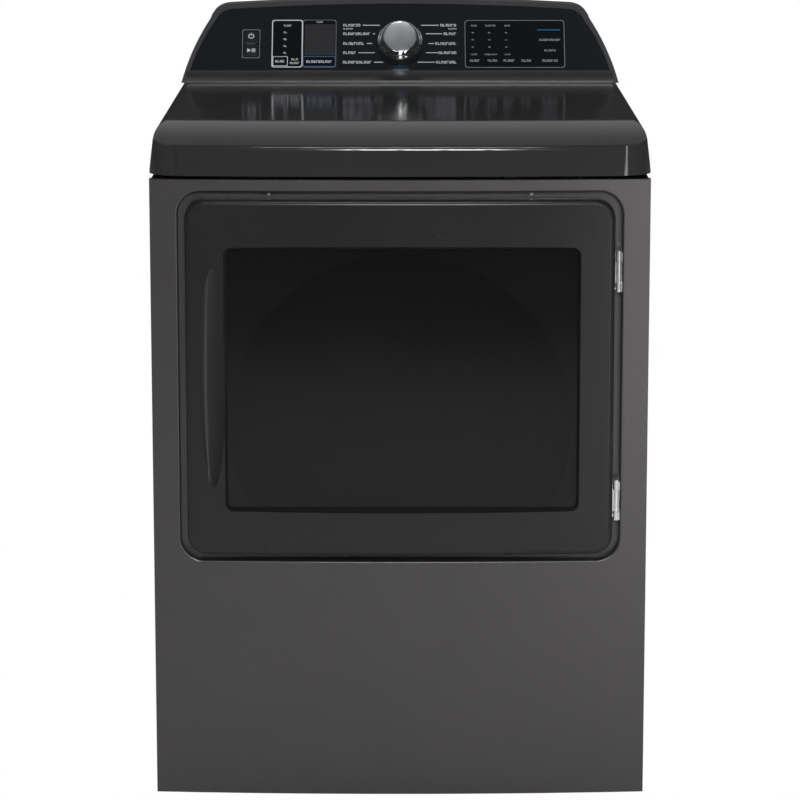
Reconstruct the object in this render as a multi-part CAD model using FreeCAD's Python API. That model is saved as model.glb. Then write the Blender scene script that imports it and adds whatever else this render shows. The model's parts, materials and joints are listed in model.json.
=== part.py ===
"""Front-loading clothes dryer, 27 inch class, as an assembly of separate pieces.

Millimetres. X is to the right of a person facing the door, Y runs from the door to the
wall, Z is up. The origin is on the floor, under the middle of the bounding box.
"""
import FreeCAD, Part
import math
import os
from FreeCAD import Placement, Rotation, Vector

# ---- cabinet ----------------------------------------------------------------
SHEET = 1.2
FACE_HALF = 341.0          # half width of the front panel
SIDE_HALF = 339.6          # outer face of the side panels, inside the front panel's returns
BOW_RADIUS = 4850.0        # the front face bulges forward in plan
FACE_Y = -395.0            # front face on the centre line
RETURN_Y = -366.0          # back edge of the front panel's returns
SIDE_FRONT_Y = -378.0
REAR_Y = 375.0
BOTTOM_Z = 6.0
PAN_FLOOR_Z = BOTTOM_Z + 3.5
FACE_TOP_Z = 872.0

# ---- top cover ----------------------------------------------------------------
COVER_HALF = 343.0
LIP_Z = 877.0
BAND_TOP_Z = 912.0          # top of the upright band along the front
WORKTOP_Z = 942.0
SLOPE_RADIUS = 245.0        # the top slopes down to the front on this radius
SLOPE_TURN = 25.0           # degrees, then it turns over the front edge
COVER_CORNER = 40.0
COVER_SHOULDER = 12.0
COVER_DRAFT = 9.0
COVER_WALL = 3.0

# ---- console ------------------------------------------------------------------
CONSOLE_BASE_Y = 224.0
CONSOLE_TILT = 38.0        # the face leans back this far from vertical
CONSOLE_REAR_Y = 362.0
CONSOLE_HALF = 334.0
CONSOLE_FACE = 152.5        # height of the face along its slope, at the middle
FASCIA_BORDER = 8.0
FASCIA_THICK = 2.5
TRIM_HEIGHT = 22.0
KNOB_S = 67.5              # knob centre, measured up the face
KNOB_R = 33.4
KNOB_HEIGHT = 27.0
DISPLAY_FRAME = (-197.0, -98.0, 28.0, 114.5)    # openings in the fascia: x0, x1 and two heights
STATUS_FRAME = (99.5, 253.0, 27.5, 114.0)
BUTTON_FRAME = (-242.5, -215.0, 45.0, 97.0)
BUTTON_SPLIT = 71.0
FASCIA_FRONT = -0.4
FASCIA_BACK = FASCIA_FRONT - FASCIA_THICK
KEY_MIDDLES = (58.0, 84.0)

# ---- door ---------------------------------------------------------------------
DOOR_Z = 598.5
DOOR_HALF_W = 293.0
DOOR_HALF_H = 247.0
DOOR_CORNER = 26.0
DOOR_PROUD = 10.0
DOOR_BACK_Y = -378.0
GAP = 10.0
RECESS_Y = -372.0
WINDOW = (-243.0, 249.0, 411.0, 783.0)
WINDOW_CORNER = 8.0
WINDOW_BEVEL = 6.0
GLASS_Y = -387.0
HINGE_X = 298.0
HINGE_Y = -393.0
HINGE_Z = (427.0, 746.0)
BARREL_R = 3.6
PIN_R = 1.8
LINER_BACK_Y = -362.0
CATCH_Z = 598.5
SWITCH_Z = 500.0
BARREL_LONG = 14.5
BARREL_END = 27.0
KNUCKLE_GAP = 0.4

# ---- drum and its openings ------------------------------------------------------
DRUM_Z = 530.0
DRUM_R = 330.0
DRUM_FRONT_Y = -322.0
DRUM_BACK_Y = 262.0
PORT_R = 262.0             # round door opening with a flat sill
SILL_Z = 372.0
BULKHEAD_Y = -341.0
COLLAR_R = 276.0
MOUTH_R = 285.0
SHAFT_R = 10.0
BEARING_FIT = 0.05
HEATER_FRONT_Y = 268.0
HEATER_BACK_Y = 318.0
BEARING_BACK_Y = 338.0

# ---- drive ----------------------------------------------------------------------
MOTOR_X = 190.0
MOTOR_Z = 110.0
MOTOR_R = 60.0
PULLEY_R = 9.5
IDLER_X = 90.0
IDLER_Z = 70.0
IDLER_R = 25.0
PIVOT_X = 150.0
PIVOT_Z = 40.0
BELT_Y = 10.0
BELT_WIDTH = 8.0
BELT_THICK = 2.0
BELT_GAP = 0.3

# ---- exhaust --------------------------------------------------------------------
EXHAUST_X = -90.0
EXHAUST_Z = 92.0
EXHAUST_R = 50.8
EXHAUST_END_Y = 405.0
EXHAUST_CUTOUT = 55.0       # half the square opening in the rear panel
EXHAUST_CORNER = 8.0
PIPE_SEAT = 2.0             # how far the exhaust pipe reaches into the fan housing
BLOWER_FRONT_Y = -331.0
BLOWER_BACK_Y = -245.0
FILTER_HALF = 120.0
FILTER_TOP_Z = 371.0
FILTER_DROP = 170.0
TRAP_FRONT_Y = -367.0
TRAP_BACK_Y = -341.2
CORD_X = 250.0
CORD_Z = 715.0
CORD_R = 14.0

FOOT_X = 290.0
FOOT_Y = (-335.0, 330.0)
FOOT_PAD_R = 18.0

CONSOLE_FRAME = Placement(
    Vector(0, CONSOLE_BASE_Y, WORKTOP_Z),
    Rotation(Vector(1, 0, 0), 90.0 - CONSOLE_TILT),
)
Y_AXIS = Vector(0, 1, 0)
Z_AXIS = Vector(0, 0, 1)
X_AXIS = Vector(1, 0, 0)


# ---- helpers --------------------------------------------------------------------
def box(x0, x1, y0, y1, z0, z1):
    return Part.makeBox(x1 - x0, y1 - y0, z1 - z0, Vector(x0, y0, z0))


def rod_y(x, z, radius, y0, y1):
    return Part.makeCylinder(radius, y1 - y0, Vector(x, y0, z), Y_AXIS)


def rod_z(x, y, radius, z0, z1):
    return Part.makeCylinder(radius, z1 - z0, Vector(x, y, z0), Z_AXIS)


def ring_y(x, z, outer, inner, y0, y1):
    return rod_y(x, z, outer, y0, y1).cut(rod_y(x, z, inner, y0 - 1, y1 + 1))


def ring_z(x, y, outer, inner, z0, z1):
    return rod_z(x, y, outer, z0, z1).cut(rod_z(x, y, inner, z0 - 1, z1 + 1))


def fuse(first, *others):
    return first.fuse(list(others)).removeSplitter()


def cut(solid, *tools):
    return solid.cut(list(tools))


def group(solids):
    return Part.makeCompound(list(solids))


def rounded_outline(x0, x1, z0, z1, radius, y):
    """Closed wire of a rounded rectangle in the XZ plane."""
    turn = radius * (1.0 - math.sqrt(0.5))
    right = [Vector(x1, y, z0 + radius), Vector(x1, y, z1 - radius)]
    top = [Vector(x1 - radius, y, z1), Vector(x0 + radius, y, z1)]
    left = [Vector(x0, y, z1 - radius), Vector(x0, y, z0 + radius)]
    bottom = [Vector(x0 + radius, y, z0), Vector(x1 - radius, y, z0)]
    corners = [
        Vector(x1 - turn, y, z1 - turn),
        Vector(x0 + turn, y, z1 - turn),
        Vector(x0 + turn, y, z0 + turn),
        Vector(x1 - turn, y, z0 + turn),
    ]
    sides = [right, top, left, bottom]
    edges = []
    for index, side in enumerate(sides):
        following = sides[(index + 1) % 4]
        edges.append(Part.makeLine(side[0], side[1]))
        edges.append(Part.Arc(side[1], corners[index], following[0]).toShape())
    return Part.Wire(edges)


def rounded_prism(x0, x1, z0, z1, radius, y0, y1):
    face = Part.Face(rounded_outline(x0, x1, z0, z1, radius, y0))
    return face.extrude(Vector(0, y1 - y0, 0))


def tapered_prism(x0, x1, z0, z1, radius, y0, y1, grow):
    """Rounded prism that is wider by grow on every side at y0."""
    front = rounded_outline(x0 - grow, x1 + grow, z0 - grow, z1 + grow, radius + grow, y0)
    back = rounded_outline(x0, x1, z0, z1, radius, y1)
    return Part.makeLoft([front, back], True, True)


def bow_y(x, offset=0.0):
    """Y of the bowed front face at x, offset backwards by the given distance."""
    radius = BOW_RADIUS - offset
    centre = FACE_Y + BOW_RADIUS
    return centre - math.sqrt(radius * radius - x * x)


def bowed_block(half, offset, back_y, z0, z1):
    """Block with the bowed front face, pushed back by offset."""
    edge = bow_y(half, offset)
    front = Part.Arc(
        Vector(-half, edge, z0), Vector(0, bow_y(0, offset), z0), Vector(half, edge, z0)
    ).toShape()
    wire = Part.Wire([
        front,
        Part.makeLine(Vector(half, edge, z0), Vector(half, back_y, z0)),
        Part.makeLine(Vector(half, back_y, z0), Vector(-half, back_y, z0)),
        Part.makeLine(Vector(-half, back_y, z0), Vector(-half, edge, z0)),
    ])
    return Part.Face(wire).extrude(Vector(0, 0, z1 - z0))


def fillet_where(solid, radius, wanted):
    """Round every edge whose middle passes the test."""
    edges = []
    for edge in solid.Edges:
        middle = edge.valueAt(0.5 * (edge.FirstParameter + edge.LastParameter))
        if wanted(edge, middle):
            edges.append(edge)
    return solid.makeFillet(radius, edges)


def port_prism(radius, sill, y0, y1):
    """Round door opening cut off by the flat sill."""
    return cut(rod_y(0, DRUM_Z, radius, y0, y1), box(-radius, radius, y0 - 1, y1 + 1, 0, sill))


def port_ring(radius, sill, wall, y0, y1):
    outer = port_prism(radius + wall, sill - wall, y0, y1)
    return cut(outer, port_prism(radius, sill, y0 - 1, y1 + 1))


def on_console(shape):
    """Move a shape from console-face coordinates (x, up the face, outward) into place."""
    placed = shape.copy()
    placed.transformShape(CONSOLE_FRAME.toMatrix(), True)
    return placed


def face_box(x0, x1, s0, s1, n0, n1):
    return Part.makeBox(x1 - x0, s1 - s0, n1 - n0, Vector(x0, s0, n0))


def face_rod(x, s, radius, n0, n1):
    return Part.makeCylinder(radius, n1 - n0, Vector(x, s, n0), Z_AXIS)


def export(name, shape):
    shape.exportStep("parts/" + name + ".step")


# ---- cabinet shells ---------------------------------------------------------------
def recess_bounds(grow):
    half_w = DOOR_HALF_W + GAP + grow
    half_h = DOOR_HALF_H + GAP + grow
    return -half_w, half_w, DOOR_Z - half_h, DOOR_Z + half_h


def front_body(inset, edge_radius):
    """Solid of the front panel with its door recess, shrunk by inset."""
    body = bowed_block(
        FACE_HALF - inset, inset, RETURN_Y + inset, BOTTOM_Z + inset, FACE_TOP_Z - inset
    )
    x0, x1, z0, z1 = recess_bounds(inset)
    corner = DOOR_CORNER + GAP - 4.0 + inset
    pocket = rounded_prism(x0, x1, z0, z1, corner, FACE_Y - 20, RECESS_Y + inset)
    body = body.cut(pocket)

    def rim(edge, middle):
        in_recess = abs(middle.x) <= x1 + 0.1 and z0 - 0.1 <= middle.z <= z1 + 0.1
        return in_recess and middle.y < RECESS_Y - 5 and edge.BoundBox.YLength < 12

    return fillet_where(body, edge_radius, rim)


def front_panel():
    shell = cut(front_body(0.0, 3.0), front_body(SHEET, 3.0 + SHEET))
    behind = box(-FACE_HALF + SHEET, FACE_HALF - SHEET, RETURN_Y - 0.1, RETURN_Y + 5, BOTTOM_Z + SHEET,
                 FACE_TOP_Z - SHEET)
    port = port_prism(PORT_R, SILL_Z, RECESS_Y - 5, RECESS_Y + 10)
    return cut(shell, behind, port)


def side_panel(side):
    outer = SIDE_HALF
    flange = 20.0
    top = FACE_TOP_Z - SHEET - 0.2
    plate = box(outer - SHEET, outer, SIDE_FRONT_Y, REAR_Y - SHEET, BOTTOM_Z + 2, top)
    front = box(outer - flange, outer, SIDE_FRONT_Y + 14, SIDE_FRONT_Y + 14 + SHEET, BOTTOM_Z + 2, top)
    rear = box(outer - flange, outer, REAR_Y - 2 * SHEET, REAR_Y - SHEET, BOTTOM_Z + 2, top)
    panel = fuse(plate, front, rear)
    if side < 0:
        panel = panel.mirror(Vector(0, 0, 0), X_AXIS)
    return panel


def base_pan():
    half = SIDE_HALF - SHEET - 0.2
    outer = box(-half, half, SIDE_FRONT_Y + 17, REAR_Y - 2.6 * SHEET, BOTTOM_Z + 2, BOTTOM_Z + 34)
    inner = box(-half + 1.5, half - 1.5, SIDE_FRONT_Y + 18.5, REAR_Y - 2.6 * SHEET - 1.5,
                BOTTOM_Z + 3.5, BOTTOM_Z + 40)
    pan = cut(outer, inner)
    holes = [rod_z(x, y, 5.0, 0, 20) for x in (-FOOT_X, FOOT_X) for y in FOOT_Y]
    return cut(pan, *holes)


def rear_louvres():
    slots = []
    for column in (-215.0, 60.0):
        for row in range(9):
            z = 600.0 + 18.0 * row
            slots.append(rounded_prism(column - 45, column + 45, z, z + 6, 2.9, REAR_Y - 5, REAR_Y + 5))
    return slots


def rear_panel():
    half = SIDE_HALF - 3.0
    plate = box(-half, half, REAR_Y - SHEET, REAR_Y, BOTTOM_Z + 2, FACE_TOP_Z + 2)
    exhaust = rounded_prism(EXHAUST_X - EXHAUST_CUTOUT, EXHAUST_X + EXHAUST_CUTOUT,
                            EXHAUST_Z - EXHAUST_CUTOUT, EXHAUST_Z + EXHAUST_CUTOUT,
                            EXHAUST_CORNER, REAR_Y - 5, REAR_Y + 5)
    cord = rod_y(CORD_X, CORD_Z, CORD_R, REAR_Y - 5, REAR_Y + 5)
    terminal = rounded_prism(CORD_X - 35, CORD_X + 35, CORD_Z + 35, CORD_Z + 125, 5, REAR_Y - 5, REAR_Y + 5)
    return cut(plate, exhaust, cord, terminal, *rear_louvres())


# ---- top cover --------------------------------------------------------------------
def cover_body(inset):
    """Solid of the top cover: bowed front, top sloping down to it, drafted rounded sides."""
    front = FACE_Y - 2.0 + inset
    top = WORKTOP_Z - inset
    rear = REAR_Y + 2.0 - inset
    base = LIP_Z - (inset > 0) * 5.0
    turn = math.radians(SLOPE_TURN)
    slope = SLOPE_RADIUS - inset
    nose = (WORKTOP_Z - BAND_TOP_Z - SLOPE_RADIUS * (1.0 - math.cos(turn))) / math.cos(turn) - inset
    nose_y = front + nose
    break_y = nose_y - nose * math.sin(turn)
    slope_y = break_y + slope * math.sin(turn)
    half = 0.5 * turn
    full = 0.5 * (turn + 0.5 * math.pi)
    reach = rear + 40.0

    def on_slope(angle):
        return Vector(0, slope_y - slope * math.sin(angle), top - slope * (1.0 - math.cos(angle)))

    nose_z = top - slope * (1.0 - math.cos(turn)) - nose * math.cos(turn)

    def on_nose(angle):
        return Vector(0, nose_y - nose * math.sin(angle), nose_z + nose * math.cos(angle))

    wire = Part.Wire([
        Part.makeLine(Vector(0, front, base), on_nose(0.5 * math.pi)),
        Part.Arc(on_nose(0.5 * math.pi), on_nose(full), on_nose(turn)).toShape(),
        Part.Arc(on_nose(turn), on_slope(half), on_slope(0.0)).toShape(),
        Part.makeLine(on_slope(0.0), Vector(0, reach, top)),
        Part.makeLine(Vector(0, reach, top), Vector(0, reach, base)),
        Part.makeLine(Vector(0, reach, base), Vector(0, front, base)),
    ])
    axis_at = Vector(0, FACE_Y + BOW_RADIUS, 0)
    profile = Part.Face(wire)
    profile.rotate(axis_at, Z_AXIS, -5.0)
    swept = profile.revolve(axis_at, Z_AXIS, 10.0)
    return swept.common(cover_sides(inset, base, top, rear))


def cover_sides(inset, base, top, rear):
    """Front-view outline of the cover, drafted and rounded, run from front to back."""
    low = COVER_HALF - inset
    high = low - COVER_DRAFT
    start = FACE_Y - 30.0
    shoulder_r = COVER_SHOULDER - inset
    pull = shoulder_r * (1.0 - math.sqrt(0.5))
    lean = COVER_DRAFT * shoulder_r / (top - base)
    outline = []
    for side in (1, -1):
        foot = Vector(side * low, start, base)
        shoulder = Vector(side * (high + lean), start, top - shoulder_r)
        crown = Vector(side * (high - shoulder_r), start, top)
        outline.append(Part.makeLine(foot, shoulder))
        outline.append(Part.Arc(shoulder, Vector(side * (high - pull), start, top - pull), crown).toShape())
        outline.append(Part.makeLine(foot, Vector(0, start, base)))
        outline.append(Part.makeLine(crown, Vector(0, start, top)))
    wire = Part.Wire(Part.sortEdges(outline)[0])
    block = Part.Face(wire).extrude(Vector(0, rear - start, 0))
    corner = COVER_CORNER - inset
    plan = rounded_plan(low, bow_y(low) - 2.0 + inset, rear, corner, base, top)
    return block.common(plan)


def rounded_plan(half, edge_y, rear, corner, z0, z1):
    """Block with rounded front corners, longer at the front than the bow reaches."""
    front = FACE_Y - 30.0
    core = box(-half, half, edge_y + corner, rear, z0, z1)
    nose = box(-half + corner, half - corner, front, edge_y + corner, z0, z1)
    posts = [rod_z(side * (half - corner), edge_y + corner, corner, z0, z1) for side in (-1, 1)]
    return fuse(core, nose, *posts)


def top_cover():
    return cut(cover_body(0.0), cover_body(COVER_WALL))


# ---- console ----------------------------------------------------------------------
def console_outline(inset, bottom):
    """Closed wire of the console face: arched sides, rounded upper corners, crowned top."""
    right = [
        Vector(CONSOLE_HALF - inset - 0.2 * bottom, bottom, 0),
        Vector(313.0 - inset, 72.0, 0),
        Vector(292.0 - inset, 118.0 - 0.5 * inset, 0),
    ]
    corner = Vector(283.0 - inset, 134.5 - 0.8 * inset, 0)
    shoulder = Vector(264.0 - inset, 143.0 - inset, 0)
    crown = Vector(0, CONSOLE_FACE - inset, 0)

    def flip(point):
        return Vector(-point.x, point.y, point.z)

    return Part.Wire([
        Part.makeLine(flip(right[0]), right[0]),
        Part.Arc(right[0], right[1], right[2]).toShape(),
        Part.Arc(right[2], corner, shoulder).toShape(),
        Part.Arc(shoulder, crown, flip(shoulder)).toShape(),
        Part.Arc(flip(shoulder), flip(corner), flip(right[2])).toShape(),
        Part.Arc(flip(right[2]), flip(right[1]), flip(right[0])).toShape(),
    ])


def console_prism(inset, bottom, depth, length):
    """Face outline at the given depth below the face, run horizontally to the rear."""
    face = Part.Face(console_outline(inset, bottom))
    face.translate(Vector(0, 0, -depth))
    return on_console(face).extrude(Vector(0, length, 0))


def face_slab(inset, bottom, n0, n1):
    face = Part.Face(console_outline(inset, bottom))
    face.translate(Vector(0, 0, n0))
    return face.extrude(Vector(0, 0, n1 - n0))


def console_housing():
    reach = 260.0
    behind = box(-400, 400, CONSOLE_REAR_Y, 800, 800, 1200)
    body = console_prism(0.0, 0.0, 0.0, reach).cut(behind)
    pocket = on_console(face_slab(FASCIA_BORDER, TRIM_HEIGHT, -FASCIA_THICK - 0.5, 5.0))
    cavity = console_prism(FASCIA_BORDER + 5.0, TRIM_HEIGHT + 4.0, FASCIA_THICK, reach + 50)
    return fuse(cut(body, pocket, cavity), console_cove())


def console_back_cover():
    slab = console_prism(1.0, 1.5, 0.0, 400.0)
    return slab.common(box(-400, 400, CONSOLE_REAR_Y, CONSOLE_REAR_Y + SHEET, 800, 1200))


def fascia_holes():
    x0, x1, s0, s1 = BUTTON_FRAME
    return [
        face_rod(0, KNOB_S, 5.5, -10, 10),
        face_box(*DISPLAY_FRAME, -10, 10),
        face_box(*STATUS_FRAME, -10, 10),
        face_box(x0 + 3.4, x1 - 3.4, BUTTON_SPLIT + 1, s1 - 3.4, -10, 10),
        face_box(x0 + 3.4, x1 - 3.4, s0 + 3.4, BUTTON_SPLIT - 1, -10, 10),
    ]


def console_fascia():
    slab = face_slab(FASCIA_BORDER + 0.3, TRIM_HEIGHT + 0.3, FASCIA_BACK, FASCIA_FRONT)
    return on_console(cut(slab, *fascia_holes()))


def window_insert(frame):
    x0, x1, s0, s1 = frame
    return on_console(face_box(x0 + 0.2, x1 - 0.2, s0 + 0.2, s1 - 0.2, FASCIA_BACK, FASCIA_FRONT + 0.2))


def key(s0, s1):
    x0, x1 = BUTTON_FRAME[0] + 3.8, BUTTON_FRAME[1] - 3.8
    cap = fillet_where(face_box(x0, x1, s0, s1, -3.0, 1.4), 0.6, lambda edge, middle: middle.z > 1.3)
    middle_x = 0.5 * (x0 + x1)
    middle_s = 0.5 * (s0 + s1)
    stem = face_box(middle_x - 2, middle_x + 2, middle_s - 2, middle_s + 2, -9.0, -3.0)
    return on_console(fuse(cap, stem))


def console_cove():
    """Coved strip along the foot of the console, flaring forward down to the worktop."""
    lip_s, lip_n = -0.8, 8.3
    start = -CONSOLE_HALF + FASCIA_BORDER
    wire = Part.Wire([
        Part.makeLine(Vector(start, 0.4, 0.0), Vector(start, TRIM_HEIGHT, 0.0)),
        Part.makeLine(Vector(start, TRIM_HEIGHT, 0.0), Vector(start, TRIM_HEIGHT, 0.8)),
        Part.Arc(Vector(start, TRIM_HEIGHT, 0.8), Vector(start, 10.0, 2.7),
                 Vector(start, lip_s, lip_n)).toShape(),
        Part.makeLine(Vector(start, lip_s, lip_n), Vector(start, lip_s - 3.2, lip_n - 2.5)),
        Part.makeLine(Vector(start, lip_s - 3.2, lip_n - 2.5), Vector(start, 0.4, 0.0)),
    ])
    return on_console(Part.Face(wire).extrude(Vector(-2 * start, 0, 0)))


def control_board():
    """Circuit board with its screen, lamps, relays and the two key switches."""
    board = face_box(-255, 260, 46, 112, -24.0, -22.4)
    screen = face_box(-190, -100, 48, 110, -22.4, -8.0)
    leds = face_box(104, 244, 48, 110, -22.4, -16.0)
    relays = [face_box(-60 + 40 * i, -40 + 40 * i, 60, 76, -36.0, -24.0) for i in range(4)]
    x = 0.5 * (BUTTON_FRAME[0] + BUTTON_FRAME[1])
    switches = [face_box(x - 5, x + 5, s - 5, s + 5, -22.4, -11.0) for s in KEY_MIDDLES]
    return on_console(fuse(board, screen, leds, *relays, *switches))


def knob_encoder():
    can = face_box(-9, 9, KNOB_S - 9, KNOB_S + 9, -22.4, -4.0)
    bush = face_rod(0, KNOB_S, 4.6, -4.0, 4.0)
    bore = face_rod(0, KNOB_S, 3.0 + BEARING_FIT, -18.0, 10.0)
    return on_console(cut(fuse(can, bush), bore))


def knob_skirt():
    outer = Part.makeCone(KNOB_R + 1.5, KNOB_R, 13.0, Vector(0, KNOB_S, 0.6), Z_AXIS)
    core = face_rod(0, KNOB_S, KNOB_R - 5.0, 13.6, 22.0)
    hollow = face_rod(0, KNOB_S, KNOB_R - 3.0, 0.0, 10.0)
    boss = face_rod(0, KNOB_S, 7.0, 5.0, 12.0)
    shaft = face_rod(0, KNOB_S, 3.0, -15.0, 12.0)
    return on_console(fuse(cut(fuse(outer, core), hollow), boss, shaft))


def knob_ring():
    ring = cut(face_rod(0, KNOB_S, KNOB_R - 0.6, 13.6, 24.0), face_rod(0, KNOB_S, KNOB_R - 5.0, 13.0, 25.0))
    return on_console(fillet_where(ring, 1.2, lambda edge, middle: middle.z > 23.9))


def knob_cap():
    cap = face_rod(0, KNOB_S, KNOB_R - 5.2, 22.0, KNOB_HEIGHT)
    return on_console(fillet_where(cap, 1.5, lambda edge, middle: middle.z > KNOB_HEIGHT - 0.1))


# ---- door -------------------------------------------------------------------------
def door_bounds(inset):
    return (-DOOR_HALF_W + inset, DOOR_HALF_W - inset,
            DOOR_Z - DOOR_HALF_H + inset, DOOR_Z + DOOR_HALF_H - inset)


def door_frame():
    x0, x1, z0, z1 = door_bounds(0.0)
    slab = bowed_block(x1 + 20, -DOOR_PROUD, DOOR_BACK_Y, z0 - 20, z1 + 20)
    outline = rounded_prism(x0, x1, z0, z1, DOOR_CORNER, FACE_Y - 40, DOOR_BACK_Y)
    body = slab.common(outline)
    body = fillet_where(body, 7.0, lambda edge, middle: middle.y < FACE_Y + 5 and edge.BoundBox.YLength < 12)
    wx0, wx1, wz0, wz1 = WINDOW
    bevel = tapered_prism(wx0 + WINDOW_BEVEL, wx1 - WINDOW_BEVEL, wz0 + WINDOW_BEVEL, wz1 - WINDOW_BEVEL,
                          WINDOW_CORNER, FACE_Y - DOOR_PROUD - 2, GLASS_Y, WINDOW_BEVEL)
    through = rounded_prism(wx0 - 2, wx1 + 2, wz0 - 2, wz1 + 2, WINDOW_CORNER, GLASS_Y, DOOR_BACK_Y + 1)
    return cut(body, bevel, through, handle_scoop(), door_pocket())


def handle_scoop():
    """Long lens-shaped finger scoop in the door's left border."""
    ball = Part.makeSphere(1.0)
    stretch = FreeCAD.Matrix()
    stretch.scale(Vector(19.0, 10.0, 165.0))
    scoop = ball.transformGeometry(stretch)
    scoop.translate(Vector(-257.0, FACE_Y - DOOR_PROUD + 3.0, DOOR_Z))
    return scoop


def door_pocket():
    """Hollow behind the top, right and bottom borders of the door."""
    x0, x1, z0, z1 = door_bounds(3.5)
    wx0, wx1, wz0, wz1 = WINDOW
    hollow = rounded_prism(x0 + 45, x1, z0, z1, DOOR_CORNER - 3.5, GLASS_Y + 3, DOOR_BACK_Y + 1)
    core = rounded_prism(wx0 - 6, wx1 + 6, wz0 - 6, wz1 + 6, WINDOW_CORNER, GLASS_Y - 3, DOOR_BACK_Y + 2)
    return cut(hollow, core)


def door_window_glass():
    wx0, wx1, wz0, wz1 = WINDOW
    return rounded_prism(wx0 - 1.5, wx1 + 1.5, wz0 - 1.5, wz1 + 1.5, WINDOW_CORNER - 0.5, GLASS_Y + 0.1,
                         GLASS_Y + 4.1)


def door_liner():
    """Inner door pan with a shallow plug that fills the round door opening."""
    x0, x1, z0, z1 = door_bounds(2.0)
    pan = rounded_prism(x0, x1, z0, z1, DOOR_CORNER - 2, DOOR_BACK_Y, DOOR_BACK_Y + 2.5)
    plug = port_prism(PORT_R - 12, SILL_Z + 12, DOOR_BACK_Y, LINER_BACK_Y)
    bowl = port_prism(PORT_R - 15, SILL_Z + 15, DOOR_BACK_Y - 1, LINER_BACK_Y - 2.5)
    view = port_prism(PORT_R - 40, SILL_Z + 40, DOOR_BACK_Y - 1, LINER_BACK_Y + 1)
    return cut(fuse(pan, plug), bowl, view)


def door_inner_glass():
    return port_prism(PORT_R - 26, SILL_Z + 26, LINER_BACK_Y - 6.5, LINER_BACK_Y - 2.6)


def door_gasket():
    """Bulb seal round the plug, squeezed against the recess."""
    return port_ring(PORT_R + 4, SILL_Z - 4, 9.0, DOOR_BACK_Y + 2.5, RECESS_Y - 0.3)


def door_strike():
    """Strike block high on the door's free edge, entering the catch."""
    base = box(-286, -270, DOOR_BACK_Y + 2.5, DOOR_BACK_Y + 4.5, CATCH_Z - 16, CATCH_Z + 16)
    tongue = box(-280, -276, DOOR_BACK_Y + 4.5, RECESS_Y + 14, CATCH_Z - 9, CATCH_Z + 9)
    return fuse(base, tongue)


def door_catch():
    """Spring catch behind the recess, with the slot that the strike enters."""
    body = box(-288, -268, RECESS_Y + SHEET, RECESS_Y + 24, CATCH_Z - 22, CATCH_Z + 22)
    slot = box(-282, -274, RECESS_Y, RECESS_Y + 18, CATCH_Z - 12, CATCH_Z + 12)
    return cut(body, slot)


def recess_cutouts():
    """Holes in the recess floor for the strike, the door switch and the lamp lens."""
    strike = box(-283, -273, RECESS_Y - 2, RECESS_Y + 3, CATCH_Z - 13, CATCH_Z + 13)
    switch = rod_y(-278, SWITCH_Z, 4.0, RECESS_Y - 2, RECESS_Y + 3)
    return [strike, switch]


def door_switch():
    body = box(-287, -269, RECESS_Y + SHEET, RECESS_Y + 22, SWITCH_Z - 14, SWITCH_Z + 14)
    return cut(body, rod_y(-278, SWITCH_Z, 3.5 + BEARING_FIT, RECESS_Y, RECESS_Y + 16))


def door_switch_plunger():
    stem = rod_y(-278, SWITCH_Z, 3.5, DOOR_BACK_Y + 2.8, RECESS_Y + 8)
    return fillet_where(stem, 1.2, lambda edge, middle: middle.y < DOOR_BACK_Y + 3)


# ---- hinges -----------------------------------------------------------------------


def door_hinge_leaf(z):
    barrel = rod_z(HINGE_X, HINGE_Y, BARREL_R, z - BARREL_LONG, z + BARREL_LONG)
    leaf = box(DOOR_HALF_W, DOOR_HALF_W + 2, HINGE_Y, HINGE_Y + 13, z - BARREL_LONG, z + BARREL_LONG)
    web = box(DOOR_HALF_W, HINGE_X, HINGE_Y - 1.5, HINGE_Y + 1.5, z - BARREL_LONG, z + BARREL_LONG)
    bore = rod_z(HINGE_X, HINGE_Y, PIN_R + BEARING_FIT, z - 40, z + 40)
    return cut(fuse(barrel, leaf, web), bore)


def cabinet_hinge_leaf(z):
    wall_x = DOOR_HALF_W + GAP
    parts = []
    near = BARREL_LONG + KNUCKLE_GAP
    for low, high in ((z - BARREL_END, z - near), (z + near, z + BARREL_END)):
        knuckle = rod_z(HINGE_X, HINGE_Y, BARREL_R, low, high)
        web = box(HINGE_X, wall_x - 0.2, HINGE_Y - 1.5, HINGE_Y + 1.5, low, high)
        parts.append(fuse(knuckle, web))
    plate = box(wall_x - 1.8, wall_x - 0.2, HINGE_Y - 1.5, RECESS_Y - 0.2, z - BARREL_END, z + BARREL_END)
    notch = box(wall_x - 2.5, wall_x + 1, HINGE_Y - 3, HINGE_Y + 8, z - BARREL_LONG - KNUCKLE_GAP,
                z + BARREL_LONG + KNUCKLE_GAP)
    foot = box(wall_x - 9.0, wall_x - 0.2, RECESS_Y - 1.8, RECESS_Y - 0.2, z - BARREL_END, z + BARREL_END)
    leaf = fuse(cut(plate, notch), foot, *parts)
    return cut(leaf, rod_z(HINGE_X, HINGE_Y, PIN_R, z - 40, z + 40))


def hinge_pin(z):
    pin = rod_z(HINGE_X, HINGE_Y, PIN_R, z - BARREL_END, z + BARREL_END)
    head = rod_z(HINGE_X, HINGE_Y, BARREL_R - 0.4, z + BARREL_END, z + BARREL_END + 2.2)
    return fuse(pin, head)


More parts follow.
